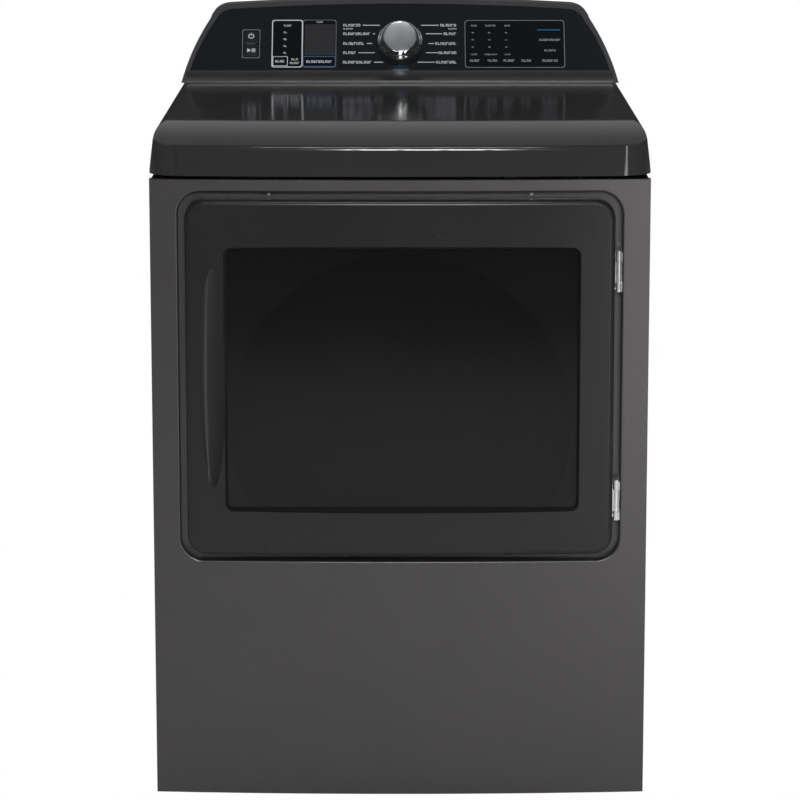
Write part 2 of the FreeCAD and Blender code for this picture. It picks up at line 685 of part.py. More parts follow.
# ---- drum front support and lint trap ------------------------------------------------
def front_bulkhead():
    plate = box(-318, 318, BULKHEAD_Y, BULKHEAD_Y + SHEET, 200, 862)
    collar = ring_y(0, DRUM_Z, COLLAR_R, COLLAR_R - SHEET, BULKHEAD_Y, BULKHEAD_Y + 21)
    port = port_prism(PORT_R, SILL_Z, BULKHEAD_Y - 5, BULKHEAD_Y + 5)
    grille = []
    for row in range(7):
        z = 272.0 + 12.0 * row
        grille.append(rounded_prism(-110, 110, z, z + 6, 2.9, BULKHEAD_Y - 5, BULKHEAD_Y + 5))
    frame = cut(fuse(plate, collar), port, *grille)
    return fuse(frame, port_tunnel())


def port_tunnel():
    """Tunnel from the front panel to the drum's front support, slotted for the lint filter."""
    tunnel = port_ring(PORT_R, SILL_Z, 2.5, RECESS_Y + SHEET + 0.2, BULKHEAD_Y + 0.2)
    slot = box(-FILTER_HALF - 6, FILTER_HALF + 6, TRAP_FRONT_Y + 2, TRAP_BACK_Y - 2, SILL_Z - 10, SILL_Z + 5)
    return cut(tunnel, slot)


def trap_duct():
    """Lint filter housing under the sill, with its elbow to the fan."""
    top = SILL_Z - 2.7
    upper = box(-140, 140, TRAP_FRONT_Y, TRAP_BACK_Y, 130, top)
    lower = box(0, 265, TRAP_FRONT_Y, TRAP_BACK_Y, 40, 180)
    neck = rod_y(MOTOR_X, MOTOR_Z, 58, TRAP_BACK_Y, BLOWER_FRONT_Y - 0.2)
    upper_in = box(-137.5, 137.5, TRAP_FRONT_Y + 2.5, TRAP_BACK_Y - 2.5, 132.5, top + 5)
    lower_in = box(2.5, 262.5, TRAP_FRONT_Y + 2.5, TRAP_BACK_Y - 2.5, 42.5, 177.5)
    neck_in = rod_y(MOTOR_X, MOTOR_Z, 55.5, TRAP_BACK_Y - 5, BLOWER_FRONT_Y + 5)
    intake = box(-115, 115, TRAP_BACK_Y - 5, TRAP_BACK_Y + 5, 265, 355)
    return cut(fuse(upper, lower, neck), upper_in, lower_in, neck_in, intake)


def lint_filter_frame():
    bottom = FILTER_TOP_Z - FILTER_DROP
    y0 = TRAP_FRONT_Y + 5.5
    y1 = TRAP_BACK_Y - 5.5
    outer = box(-FILTER_HALF, FILTER_HALF, y0, y1, bottom, FILTER_TOP_Z - 6)
    inner = box(-FILTER_HALF + 8, FILTER_HALF - 8, y0 - 1, y1 + 1, bottom + 8, FILTER_TOP_Z - 22)
    ribs = [box(x - 2, x + 2, y0 + 2, y1 - 2, bottom + 8, FILTER_TOP_Z - 22) for x in (-40.0, 40.0)]
    handle = box(-FILTER_HALF - 4, FILTER_HALF + 4, y0, y1, FILTER_TOP_Z - 6, FILTER_TOP_Z - 2)
    pull = box(-40, 40, y0 + 4, y1 - 4, FILTER_TOP_Z - 2, FILTER_TOP_Z + 8)
    return fuse(cut(outer, inner), handle, pull, *ribs)


def lint_filter_screen():
    bottom = FILTER_TOP_Z - FILTER_DROP
    middle = 0.5 * (TRAP_FRONT_Y + TRAP_BACK_Y)
    panes = []
    for x0, x1 in ((-FILTER_HALF + 8, -42.0), (-38.0, 38.0), (42.0, FILTER_HALF - 8)):
        panes.append(box(x0, x1, middle - 0.4, middle + 0.4, bottom + 8, FILTER_TOP_Z - 22))
    return group(panes)


def drum_front_seal():
    return ring_y(0, DRUM_Z, MOUTH_R - 0.4, COLLAR_R + 0.1, BULKHEAD_Y + 5, BULKHEAD_Y + 10)


def drum_glides():
    """Four slide pads on top of the collar that carry the drum's mouth."""
    band = ring_y(0, DRUM_Z, MOUTH_R - 0.3, COLLAR_R, BULKHEAD_Y + 11, BULKHEAD_Y + 18)
    pads = []
    for angle in (-42.0, -14.0, 14.0, 42.0):
        keep = box(-22, 22, BULKHEAD_Y, BULKHEAD_Y + 30, DRUM_Z + 200, DRUM_Z + 300)
        keep.rotate(Vector(0, 0, DRUM_Z), Y_AXIS, angle)
        pads.append(band.common(keep))
    return group(pads)


# ---- drum -------------------------------------------------------------------------
def drum_shell():
    barrel = ring_y(0, DRUM_Z, DRUM_R, DRUM_R - SHEET, DRUM_FRONT_Y, DRUM_BACK_Y)
    lip = ring_y(0, DRUM_Z, DRUM_R, MOUTH_R, DRUM_FRONT_Y, DRUM_FRONT_Y + SHEET)
    mouth = ring_y(0, DRUM_Z, MOUTH_R + SHEET, MOUTH_R, DRUM_FRONT_Y - 14, DRUM_FRONT_Y + SHEET)
    return fuse(barrel, lip, mouth)


def perforations():
    """Air holes of the drum's back: a wedge below the hub and one at each lower side."""
    holes = []
    pitch = 12.9
    first_row = 7
    last_row = 17
    for heading, spread in ((0.0, 26.0), (57.0, 40.0), (-57.0, 40.0)):
        middle = math.radians(heading)
        for row in range(first_row, last_row):
            radius = pitch * row
            count = int(math.radians(spread + row) * radius / pitch)
            for index in range(count + 1):
                angle = middle + (index - 0.5 * count) * pitch / radius
                x = radius * math.sin(angle)
                z = DRUM_Z - radius * math.cos(angle)
                holes.append(rod_y(x, z, 2.6, DRUM_BACK_Y - 8, DRUM_BACK_Y + 8))
    return holes


def back_ribs():
    """Pressed ribs: a cross bar at each side of the hub and the post above it."""
    y0 = DRUM_BACK_Y - 7
    y1 = DRUM_BACK_Y - SHEET
    bars = [
        rounded_prism(-218, -44, DRUM_Z - 16, DRUM_Z + 18, 5, y0, y1),
        rounded_prism(44, 218, DRUM_Z - 16, DRUM_Z + 18, 5, y0, y1),
    ]
    post = rounded_prism(-40, 40, DRUM_Z - 20, DRUM_Z + 90, 6, y0 - 3, y1)
    button = rod_y(0, DRUM_Z + 48, 20.0, y0 - 7, y0 - 3)
    heads = [rod_y(side * 62.0, DRUM_Z + 84, 4.5, y0 + 2, y1) for side in (-1, 1)]
    heads += [rod_y(side * 116.0, DRUM_Z, 4.0, y0 - 2, y0) for side in (-1, 1)]
    return bars + [post, button] + heads


def drum_back():
    plate = rod_y(0, DRUM_Z, DRUM_R - SHEET, DRUM_BACK_Y - SHEET, DRUM_BACK_Y)
    pressed = fuse(plate, *back_ribs())
    return cut(pressed, rod_y(0, DRUM_Z, SHAFT_R, DRUM_BACK_Y - 5, DRUM_BACK_Y + 20), *perforations())


def drum_baffles():
    """Three lifting vanes, each a rounded ridge along the barrel."""
    vanes = []
    reach = DRUM_R - SHEET - 0.05
    foot_half = 42.0
    foot_z = DRUM_Z + math.sqrt(reach * reach - foot_half * foot_half)
    top_z = DRUM_Z + reach - 64.0
    y = DRUM_FRONT_Y + 20
    right = [Vector(foot_half, y, foot_z), Vector(14, y, top_z + 22), Vector(10, y, top_z + 6)]
    left = [Vector(-point.x, y, point.z) for point in right]
    for index in range(3):
        wire = Part.Wire([
            Part.Arc(left[0], Vector(0, y, DRUM_Z + reach), right[0]).toShape(),
            Part.Arc(right[0], right[1], right[2]).toShape(),
            Part.Arc(right[2], Vector(0, y, top_z), left[2]).toShape(),
            Part.Arc(left[2], left[1], left[0]).toShape(),
        ])
        vane = Part.Face(wire).extrude(Vector(0, DRUM_BACK_Y - DRUM_FRONT_Y - 40, 0))
        vane.rotate(Vector(0, 0, DRUM_Z), Y_AXIS, 120.0 * index + 60.0)
        vanes.append(vane)
    return group(vanes)


def drum_shaft():
    flange = rod_y(0, DRUM_Z, 45.0, DRUM_BACK_Y, DRUM_BACK_Y + 4)
    shaft = rod_y(0, DRUM_Z, SHAFT_R, DRUM_BACK_Y - 5, BEARING_BACK_Y - 4)
    return fuse(shaft, flange)


def heater_housing():
    """Shallow pan behind the drum that leads the hot air to its perforated back."""
    outer = rod_y(0, DRUM_Z, 258.0, HEATER_FRONT_Y, HEATER_BACK_Y)
    inner = rod_y(0, DRUM_Z, 258.0 - SHEET, HEATER_FRONT_Y - 1, HEATER_BACK_Y - SHEET)
    hub = rod_y(0, DRUM_Z, 26.0, HEATER_BACK_Y - 5, HEATER_BACK_Y + 5)
    vents = []
    for row in range(5):
        z = DRUM_Z - 200.0 + 16.0 * row
        vents.append(rounded_prism(-70, 70, z, z + 7, 3.4, HEATER_BACK_Y - 5, HEATER_BACK_Y + 5))
    pan = cut(outer, inner, hub, *vents)
    return fuse(pan, *thermostats())


def heater_element():
    """Two open heating coils on ceramic posts, drawn as closed rings."""
    rings = [Part.makeTorus(radius, 5.0, Vector(0, 292.0, DRUM_Z), Y_AXIS) for radius in (150.0, 185.0)]
    posts = []
    for index in range(6):
        angle = math.radians(60.0 * index)
        x = 150.0 * math.sin(angle)
        z = DRUM_Z + 150.0 * math.cos(angle)
        x_out = 185.0 * math.sin(angle)
        z_out = DRUM_Z + 185.0 * math.cos(angle)
        posts.append(rod_y(x, z, 6.5, 292.0, HEATER_BACK_Y - SHEET))
        posts.append(rod_y(x_out, z_out, 6.5, 292.0, HEATER_BACK_Y - SHEET))
    inner = fuse(rings[0], *posts[0::2])
    outer = fuse(rings[1], *posts[1::2])
    return group([inner, outer])


def bearing_bracket():
    bar = box(-55, 55, HEATER_BACK_Y, HEATER_BACK_Y + 3, DRUM_Z - 300, DRUM_Z + 300)
    hub = rod_y(0, DRUM_Z, 30.0, HEATER_BACK_Y, BEARING_BACK_Y - 6)
    straps = [
        box(-55, 55, HEATER_BACK_Y, REAR_Y - SHEET, DRUM_Z + end - 1.5, DRUM_Z + end + 1.5)
        for end in (-300.0, 300.0)
    ]
    feet = [
        box(-55, 55, REAR_Y - SHEET - 2, REAR_Y - SHEET, DRUM_Z + end - 14, DRUM_Z + end + 14)
        for end in (-300.0, 300.0)
    ]
    hole = rod_y(0, DRUM_Z, 17.0, HEATER_BACK_Y - 5, BEARING_BACK_Y + 5)
    return cut(fuse(bar, hub, *straps, *feet), hole)


def rear_bearing():
    return ring_y(0, DRUM_Z, 17.0, SHAFT_R + BEARING_FIT, HEATER_BACK_Y, BEARING_BACK_Y - 6)


# ---- drive ------------------------------------------------------------------------
def motor():
    can = rod_y(MOTOR_X, MOTOR_Z, MOTOR_R, -205, -50)
    bells = [rod_y(MOTOR_X, MOTOR_Z, 30.0, -215, -205), rod_y(MOTOR_X, MOTOR_Z, 30.0, -50, -38)]
    switch = box(MOTOR_X - 25, MOTOR_X + 25, -120, -70, MOTOR_Z + 55, MOTOR_Z + 84)
    bore = rod_y(MOTOR_X, MOTOR_Z, 6.0 + BEARING_FIT, -230, -20)
    return cut(fuse(can, switch, *bells), bore)


def motor_bracket():
    cradle = []
    for y in (-190.0, -80.0):
        cradle.append(box(MOTOR_X - 55, MOTOR_X + 55, y, y + 12, PAN_FLOOR_Z, MOTOR_Z - 20))
    rail = box(MOTOR_X - 55, MOTOR_X + 55, -200, 70, PAN_FLOOR_Z, PAN_FLOOR_Z + 3)
    mount = cut(fuse(rail, *cradle), rod_y(MOTOR_X, MOTOR_Z, MOTOR_R + 0.05, -220, -30))
    return fuse(mount, *idler_post())


def motor_shaft():
    shaft = rod_y(MOTOR_X, MOTOR_Z, 6.0, BLOWER_FRONT_Y + 15, 24)
    pulley = rod_y(MOTOR_X, MOTOR_Z, PULLEY_R, 2, 18)
    rims = [rod_y(MOTOR_X, MOTOR_Z, PULLEY_R + 4, y, y + 1.5) for y in (2.0, 16.5)]
    return fuse(shaft, pulley, *rims)


def blower_wheel():
    y0 = BLOWER_FRONT_Y + 12
    y1 = BLOWER_BACK_Y - 14
    back = rod_y(MOTOR_X, MOTOR_Z, 74.0, y1 - 2, y1)
    hub = rod_y(MOTOR_X, MOTOR_Z, 14.0, y0 + 10, y1)
    rim = ring_y(MOTOR_X, MOTOR_Z, 74.0, 62.0, y0, y0 + 2)
    blades = []
    for index in range(24):
        blade = box(MOTOR_X - 0.8, MOTOR_X + 0.8, y0, y1, MOTOR_Z + 60, MOTOR_Z + 73)
        blade.rotate(Vector(MOTOR_X, 0, MOTOR_Z), Y_AXIS, 15.0 * index)
        blades.append(blade)
    wheel = fuse(back, hub, rim, *blades)
    return cut(wheel, rod_y(MOTOR_X, MOTOR_Z, 6.0, y0 - 5, y1 + 5))


def blower_housing():
    """Scroll round the fan wheel with its outlet box to the exhaust pipe."""
    wall = 2.5
    scroll = rod_y(MOTOR_X, MOTOR_Z, 88.0, BLOWER_FRONT_Y, BLOWER_BACK_Y)
    outlet = box(EXHAUST_X - 60, MOTOR_X, BLOWER_FRONT_Y, BLOWER_BACK_Y, 28, 148)
    scroll_in = rod_y(MOTOR_X, MOTOR_Z, 88.0 - wall, BLOWER_FRONT_Y + wall, BLOWER_BACK_Y - wall)
    outlet_in = box(EXHAUST_X - 60 + wall, MOTOR_X, BLOWER_FRONT_Y + wall, BLOWER_BACK_Y - wall,
                    28 + wall, 148 - wall)
    inlet = rod_y(MOTOR_X, MOTOR_Z, 55.5, BLOWER_FRONT_Y - 5, BLOWER_FRONT_Y + 5)
    shaft = rod_y(MOTOR_X, MOTOR_Z, 9.0, BLOWER_BACK_Y - 5, BLOWER_BACK_Y + 5)
    pipe = rod_y(EXHAUST_X, EXHAUST_Z, EXHAUST_R + 0.1, BLOWER_BACK_Y - 5, BLOWER_BACK_Y + 5)
    return cut(fuse(scroll, outlet), scroll_in, outlet_in, inlet, shaft, pipe)


def exhaust_duct():
    inner = EXHAUST_R - 0.8
    pipe = ring_y(EXHAUST_X, EXHAUST_Z, EXHAUST_R, inner, BLOWER_BACK_Y - PIPE_SEAT, EXHAUST_END_Y)
    bead = ring_y(EXHAUST_X, EXHAUST_Z, EXHAUST_R + 1.2, inner, 352, 355)
    return fuse(pipe, bead)


def belt_normals():
    """Unit normals of the belt's three straight runs, going round drum, idler and pulley."""
    wheels = [(0.0, DRUM_Z, DRUM_R), (IDLER_X, IDLER_Z, IDLER_R), (MOTOR_X, MOTOR_Z, PULLEY_R)]
    runs = []
    for index, (x, z, radius) in enumerate(wheels):
        next_x, next_z, next_radius = wheels[(index + 1) % 3]
        span = math.hypot(next_x - x, next_z - z)
        heading = math.atan2(next_z - z, next_x - x)
        angle = heading - math.acos((radius - next_radius) / span)
        runs.append((math.cos(angle), math.sin(angle)))
    return wheels, runs


def belt_outline(offset):
    wheels, runs = belt_normals()
    edges = []
    for index, (x, z, radius) in enumerate(wheels):
        reach = radius + offset
        came = runs[index - 1]
        goes = runs[index]
        start = Vector(x + reach * came[0], 0, z + reach * came[1])
        end = Vector(x + reach * goes[0], 0, z + reach * goes[1])
        first = math.atan2(came[1], came[0])
        turn = (math.atan2(goes[1], goes[0]) - first) % (2.0 * math.pi)
        middle_angle = first + 0.5 * turn
        middle = Vector(x + reach * math.cos(middle_angle), 0, z + reach * math.sin(middle_angle))
        edges.append(Part.Arc(start, middle, end).toShape())
        next_x, next_z, next_radius = wheels[(index + 1) % 3]
        landing = next_radius + offset
        edges.append(Part.makeLine(end, Vector(next_x + landing * goes[0], 0, next_z + landing * goes[1])))
    return Part.Wire(edges)


def drum_belt():
    y0 = BELT_Y - 0.5 * BELT_WIDTH
    outer = Part.Face(belt_outline(BELT_GAP + BELT_THICK)).extrude(Vector(0, BELT_WIDTH, 0))
    inner = Part.Face(belt_outline(BELT_GAP)).extrude(Vector(0, BELT_WIDTH, 0))
    belt = outer.cut(inner)
    belt.translate(Vector(0, y0, 0))
    return belt


def idler_arm():
    length = math.hypot(IDLER_X - PIVOT_X, IDLER_Z - PIVOT_Z)
    bar = box(0, length, 20, 23, -7, 7)
    ends = [rod_y(0, 0, 10, 20, 23), rod_y(length, 0, 9, 20, 23)]
    axle = rod_y(length, 0, 4.0, 3, 20)
    cap = rod_y(length, 0, 7.0, 1, 3)
    arm = fuse(bar, *ends, axle, cap)
    arm = cut(arm, rod_y(0, 0, 5.0 + BEARING_FIT, 10, 30))
    heading = math.degrees(math.atan2(IDLER_Z - PIVOT_Z, IDLER_X - PIVOT_X))
    arm.rotate(Vector(0, 0, 0), Y_AXIS, -heading)
    arm.translate(Vector(PIVOT_X, 0, PIVOT_Z))
    return arm


def idler_pulley():
    wheel = ring_y(IDLER_X, IDLER_Z, IDLER_R, 4.0 + BEARING_FIT, 3.3, 16.7)
    rims = [ring_y(IDLER_X, IDLER_Z, IDLER_R + 3, IDLER_R - 4, y, y + 1.2) for y in (3.3, 15.5)]
    return fuse(wheel, *rims)


def idler_post():
    """Upright, pivot pin and pin head of the idler arm, at the rear of the motor bracket."""
    post = box(PIVOT_X - 14, PIVOT_X + 14, 34, 38, PAN_FLOOR_Z, PIVOT_Z + 12)
    pin = rod_y(PIVOT_X, PIVOT_Z, 5.0, 18, 34)
    head = rod_y(PIVOT_X, PIVOT_Z, 8.0, 17, 19.8)
    return [post, pin, head]


def idler_spring():
    return ring_y(PIVOT_X, PIVOT_Z, 9.0, 6.0, 23.5, 33.5)


# ---- electrics and small pieces -------------------------------------------------------
def terminal_block():
    base = box(CORD_X - 30, CORD_X + 30, REAR_Y - 22, REAR_Y - 2, CORD_Z + 55, CORD_Z + 100)
    studs = [rod_y(CORD_X + dx, CORD_Z + 78, 3.0, REAR_Y - 2, REAR_Y + 3) for dx in (-18.0, 0.0, 18.0)]
    return fuse(base, *studs)


def terminal_cover():
    outer = rounded_prism(CORD_X - 42, CORD_X + 42, CORD_Z + 28, CORD_Z + 132, 6, REAR_Y, REAR_Y + 10)
    wall = 1.5
    inner = rounded_prism(CORD_X - 42 + wall, CORD_X + 42 - wall, CORD_Z + 28 + wall, CORD_Z + 132 - wall,
                          5, REAR_Y - 1, REAR_Y + 10 - wall)
    return cut(outer, inner)


def cord_inlet():
    """Clamp bushing of the supply cord, left empty."""
    body = ring_y(CORD_X, CORD_Z, CORD_R, 9.5, REAR_Y - 8, REAR_Y + 6)
    flange = ring_y(CORD_X, CORD_Z, 18.0, 9.5, REAR_Y, REAR_Y + 3)
    return fuse(body, flange)


def thermostats():
    """The two safety thermostats riveted to the back of the heater pan."""
    cans = []
    for x in (-100.0, 100.0):
        z = DRUM_Z - 150.0
        cans.append(rod_y(x, z, 16.0, HEATER_BACK_Y - 0.5, HEATER_BACK_Y + 1.5))
        cans.append(rod_y(x, z, 11.0, HEATER_BACK_Y, HEATER_BACK_Y + 10))
    return cans


def moisture_sensor_bars():
    """Two metal strips on the bulkhead that touch the tumbling load."""
    y0 = BULKHEAD_Y + SHEET
    return group([box(-60, 60, y0, y0 + 2.0, z, z + 5.0) for z in (359.0, 367.0)])


def drum_lamp():
    """Small lamp between the port's edge and the collar."""
    ring = 268.4
    angle = math.radians(-40.0)
    x = ring * math.sin(angle)
    z = DRUM_Z + ring * math.cos(angle)
    return rod_y(x, z, 5.5, BULKHEAD_Y + SHEET, BULKHEAD_Y + SHEET + 6)


def top_braces():
    """Two channels across the cabinet that carry the top cover."""
    braces = []
    low = FACE_TOP_Z - 6
    for y in (-280.0, 230.0):
        floor = box(-SIDE_HALF + 3, SIDE_HALF - 3, y, y + 60, low, low + 3)
        top = WORKTOP_Z - COVER_WALL - 0.1
        webs = [box(-315, 315, at, at + 2, low + 3, top) for at in (y, y + 58)]
        braces.append(fuse(floor, *webs))
    return group(braces)


def foot(x, y):
    pad = fillet_where(rod_z(x, y, FOOT_PAD_R, 0, 5.5), 1.5, lambda edge, middle: middle.z < 0.1)
    stem = rod_z(x, y, 4.9, 5.5, 34)
    nut = rod_z(x, y, 9.0, PAN_FLOOR_Z, PAN_FLOOR_Z + 7)
    return fuse(pad, stem, nut)


def screw_y(x, z, y, radius, direction):
    """Pan head screw along Y whose head lies on the plane y."""
    head = rod_y(x, z, radius, min(y, y + direction * 2.2), max(y, y + direction * 2.2))
    edge_y = y + direction * 2.2
    return fillet_where(head, 0.9, lambda edge, middle: abs(middle.y - edge_y) < 0.01)


def panel_screws():
    """Screws of the rear panel, of the console's back and of the recess above the door."""
    rear = [(side * 325.0, z) for side in (-1, 1) for z in (40.0, 230.0, 420.0, 610.0, 850.0)]
    rear += [(x, FACE_TOP_Z - 12.0) for x in (-200.0, 0.0, 200.0)]
    console = [(x, z) for x in (-250.0, 0.0, 250.0) for z in (962.0, 1035.0)]
    recess = [(side * 179.0, DOOR_Z + DOOR_HALF_H + 5.0) for side in (-1, 1)]
    screws = [screw_y(x, z, REAR_Y, 4.2, 1) for x, z in rear]
    screws += [screw_y(x, z, CONSOLE_REAR_Y + SHEET, 4.0, 1) for x, z in console]
    screws += [screw_y(x, z, RECESS_Y, 2.6, -1) for x, z in recess]
    return group(screws)


def main():
    os.makedirs("parts", exist_ok=True)
    export("base_pan", base_pan())
    export("side_panels", group([side_panel(side) for side in (-1, 1)]))
    export("rear_panel", rear_panel())
    export("front_panel", cut(front_panel(), *recess_cutouts()))
    export("top_cover", top_cover())
    export("top_braces", top_braces())
    export("console_housing", console_housing())
    export("console_back_cover", console_back_cover())
    export("console_fascia", console_fascia())
    export("display_windows", group([window_insert(frame) for frame in (DISPLAY_FRAME, STATUS_FRAME)]))
    export("power_button", key(BUTTON_SPLIT + 1.4, BUTTON_FRAME[3] - 3.8))
    export("start_button", key(BUTTON_FRAME[2] + 3.8, BUTTON_SPLIT - 1.4))
    export("control_board", control_board())
    export("knob_encoder", knob_encoder())
    export("knob_skirt", knob_skirt())
    export("knob_ring", knob_ring())
    export("knob_cap", knob_cap())
    export("door_frame", door_frame())
    export("door_window_glass", door_window_glass())
    export("door_liner", door_liner())
    export("door_inner_glass", door_inner_glass())
    export("door_gasket", door_gasket())
    export("door_strike", door_strike())
    export("door_hinge_leaves", group([door_hinge_leaf(z) for z in HINGE_Z]))
    export("cabinet_hinge_leaves", group([cabinet_hinge_leaf(z) for z in HINGE_Z]))
    export("hinge_pins", group([hinge_pin(z) for z in HINGE_Z]))
    export("door_catch", door_catch())
    export("door_switch", door_switch())
    export("door_switch_plunger", door_switch_plunger())
    export("front_bulkhead", front_bulkhead())
    export("trap_duct", trap_duct())
    export("lint_filter_frame", lint_filter_frame())
    export("lint_filter_screen", lint_filter_screen())
    export("drum_front_seal", drum_front_seal())
    export("drum_glides", drum_glides())
    export("drum_shell", drum_shell())
    export("drum_back", drum_back())
    export("drum_baffles", drum_baffles())
    export("drum_shaft", drum_shaft())
    export("heater_housing", heater_housing())
    export("heater_element", heater_element())
    export("bearing_bracket", bearing_bracket())
    export("rear_bearing", rear_bearing())
    export("motor", motor())
    export("motor_bracket", motor_bracket())
    export("motor_shaft", motor_shaft())
    export("blower_wheel", blower_wheel())
    export("blower_housing", blower_housing())
    export("exhaust_duct", exhaust_duct())
    export("drum_belt", drum_belt())
    export("idler_arm", idler_arm())
    export("idler_pulley", idler_pulley())
    export("idler_spring", idler_spring())
    export("terminal_block", terminal_block())
    export("terminal_cover", terminal_cover())
    export("cord_inlet", cord_inlet())
    export("moisture_sensor_bars", moisture_sensor_bars())
    export("drum_lamp", drum_lamp())
    export("levelling_feet", group([foot(x, y) for x in (-FOOT_X, FOOT_X) for y in FOOT_Y]))
    export("panel_screws", panel_screws())


main()
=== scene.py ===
"""Looks of a front-loading clothes dryer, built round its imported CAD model. Metres."""
import json
import math

import bmesh
import bpy
from mathutils import Matrix, Vector


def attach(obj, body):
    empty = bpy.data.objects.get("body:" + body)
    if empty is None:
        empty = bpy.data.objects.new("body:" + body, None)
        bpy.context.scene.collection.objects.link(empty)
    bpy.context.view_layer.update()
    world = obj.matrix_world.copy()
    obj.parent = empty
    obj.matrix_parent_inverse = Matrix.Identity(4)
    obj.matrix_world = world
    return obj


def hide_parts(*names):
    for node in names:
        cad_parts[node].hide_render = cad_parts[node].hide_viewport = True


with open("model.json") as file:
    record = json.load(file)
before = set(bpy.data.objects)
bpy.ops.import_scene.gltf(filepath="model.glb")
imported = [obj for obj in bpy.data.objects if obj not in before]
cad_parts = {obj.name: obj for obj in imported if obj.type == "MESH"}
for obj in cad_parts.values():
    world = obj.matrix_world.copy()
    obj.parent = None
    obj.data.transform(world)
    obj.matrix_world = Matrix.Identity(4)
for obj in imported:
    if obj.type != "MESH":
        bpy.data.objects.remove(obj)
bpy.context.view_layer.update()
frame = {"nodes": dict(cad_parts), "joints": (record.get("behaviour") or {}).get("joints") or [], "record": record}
NODES = frame["nodes"]
JOINTS = {joint["name"]: joint for joint in frame["joints"]}

# ---- camera -----------------------------------------------------------------------
CAMERA_AT = Vector((0.0, -5.035, 1.470))
CAMERA_PITCH = 10.99        # degrees below the horizon
CAMERA_LENS = 155.1

# ---- the console's face: x to the right, "up" along the slope from its foot, metres ----
KNOB_CENTRE = Vector(JOINTS["knob_spin"]["pos_m"])
FACE_OUT = Vector(JOINTS["knob_spin"]["axis"]).normalized()
FACE_RIGHT = Vector((1.0, 0.0, 0.0))
FACE_UP = FACE_OUT.cross(FACE_RIGHT).normalized()
KNOB_UP = 0.0675
MM = 0.001
INK = 0.12 * MM             # thickness of printed marks
FASCIA_OUT = -0.4 * MM      # fascia surface, just below the rim of the housing
WINDOW_OUT = -0.2 * MM
KEY_OUT = 1.4 * MM

# boxes on the face: left, right, foot, top, in millimetres
DISPLAY_BOX = (-197.0, -98.0, 28.0, 114.5)
STATUS_BOX = (99.5, 253.0, 27.5, 114.0)
BUTTON_BOX = (-242.5, -215.0, 45.0, 97.0)
BUTTON_SPLIT = 71.0
FRAME_LINE = 1.5
LETTER_HIGH = 4.6
HALF_LEADER = 0.6           # half the thickness of a leader line

# rows of programme names left and right of the knob: height, name width, leader from and to
LEFT_ROWS = (
    (104.8, 27.0, -57.0, -31.0),
    (89.2, 42.0, -41.8, -38.4),
    (71.4, 33.0, -51.0, -42.8),
    (54.7, 20.5, -64.0, -38.4),
    (37.5, 44.5, -39.6, -25.5),
)
RIGHT_ROWS = (
    (104.8, 25.0, 32.3, 59.5),
    (89.2, 20.0, 39.6, 64.5),
    (71.4, 33.3, 43.5, 52.0),
    (54.7, 28.0, 39.6, 58.4),
    (37.5, 32.0, 26.7, 53.2),
)
NAME_EDGE = 87.3            # outer end of every programme name, from the middle
UNDER_NAME = 6.5            # drop of the small second line below the first programme
UNDER_WIDTHS = (15.0, 13.0)

# the display: a time scale on the left, a screen on the right, soft keys along the foot
SCALE_WIDE = 47.5
SCALE_ROWS = 5
SCALE_STEP = 12.4
SCALE_TOP = 10.5            # first row, below the frame's top
# names on it: from the frame's left, width, up from its foot, letter height
DISPLAY_NAMES = (
    (6.0, 14.0, 11.0, 4.2),
    (30.5, 10.5, 14.5, 3.6),
    (28.5, 15.0, 8.0, 3.6),
    (68.5, 10.5, 82.5, 2.4),
    (53.5, 40.0, 10.5, 4.4),
)

# the status panel: middle and width of each name
TICK_COLUMNS = ((114.0, 9.0), (139.5, 16.0), (165.5, 8.5))
OPTION_COLUMNS = ((115.0, 15.5), (142.0, 15.0), (167.5, 18.0), (194.0, 15.0))
OPTION_UP = STATUS_BOX[2] + 12.8
TICK_TOP = 91.0
TICK_STEP = 13.0
LINK_MIDDLE = 230.5
# names of the right column: width, height on the face, letter height
LINK_NAMES = ((33.0, 78.0, 3.6), (18.0, 58.8, 3.4), (24.0, OPTION_UP, 4.0))

# ---- knob, millimetres ----
CAP_R = 24.4                # dished part of the cap
CAP_FACE = 26.35
CAP_DISH = 0.5
CAP_GROOVES = 46
GROOVE_DEPTH = 0.03
# arcs of painted shade on the knob's bevel, from and to angle in degrees
SHADE_ARCS = ((6.0, 58.0), (66.0, 114.0), (122.0, 174.0))
SKIRT_STEPS = 288
RIB_DEPTH = 0.28

# ---- light ----
DOME_LIGHT = 0.03           # all round
BACK_LIGHT = 0.46           # at the brightest height behind the machine
BACK_BAND = ((0.16, 0.0), (0.26, 0.8), (0.55, 1.0), (0.84, 0.7), (0.93, 0.1))   # sine of height, level
BEHIND_EDGE = 0.35          # how far back the bright band takes to come in
FLOOR_REACH = 7.0
# name, place, aim, width, height, watts, seen in mirrors
LIGHTS = (
    ("overhead", (0.0, -1.7, 2.9), (0.0, -0.5, 0.5), 2.4, 1.6, 9.0, False),
    ("front_fill", (-1.5, -5.2, 2.4), (0.0, 0.0, 0.7), 2.0, 1.6, 6.0, False),
    ("key", (0.1, -3.5, 2.0), (0.0, -0.4, 0.6), 0.7, 0.7, 44.0, True),
    ("knob_front", (0.0, -1.6, 3.3), (0.0, 0.2, 1.0), 0.9, 0.4, 15.0, True),
    ("right_strip", (0.92, -2.3, 0.75), (0.3, -0.4, 0.6), 0.24, 1.5, 6.0, True),
    ("in_drum", (0.0, -0.22, 0.80), (0.0, 0.12, 0.40), 0.12, 0.08, 0.6, False),
    ("left_side", (-3.6, 0.2, 2.2), (0.0, 0.0, 0.5), 2.0, 1.6, 40.0, False),
    ("right_side", (3.6, 0.4, 2.2), (0.0, 0.0, 0.5), 2.0, 1.6, 40.0, False),
    ("rear", (0.4, 4.4, 2.4), (0.0, 0.3, 0.5), 2.6, 1.8, 60.0, False),
)


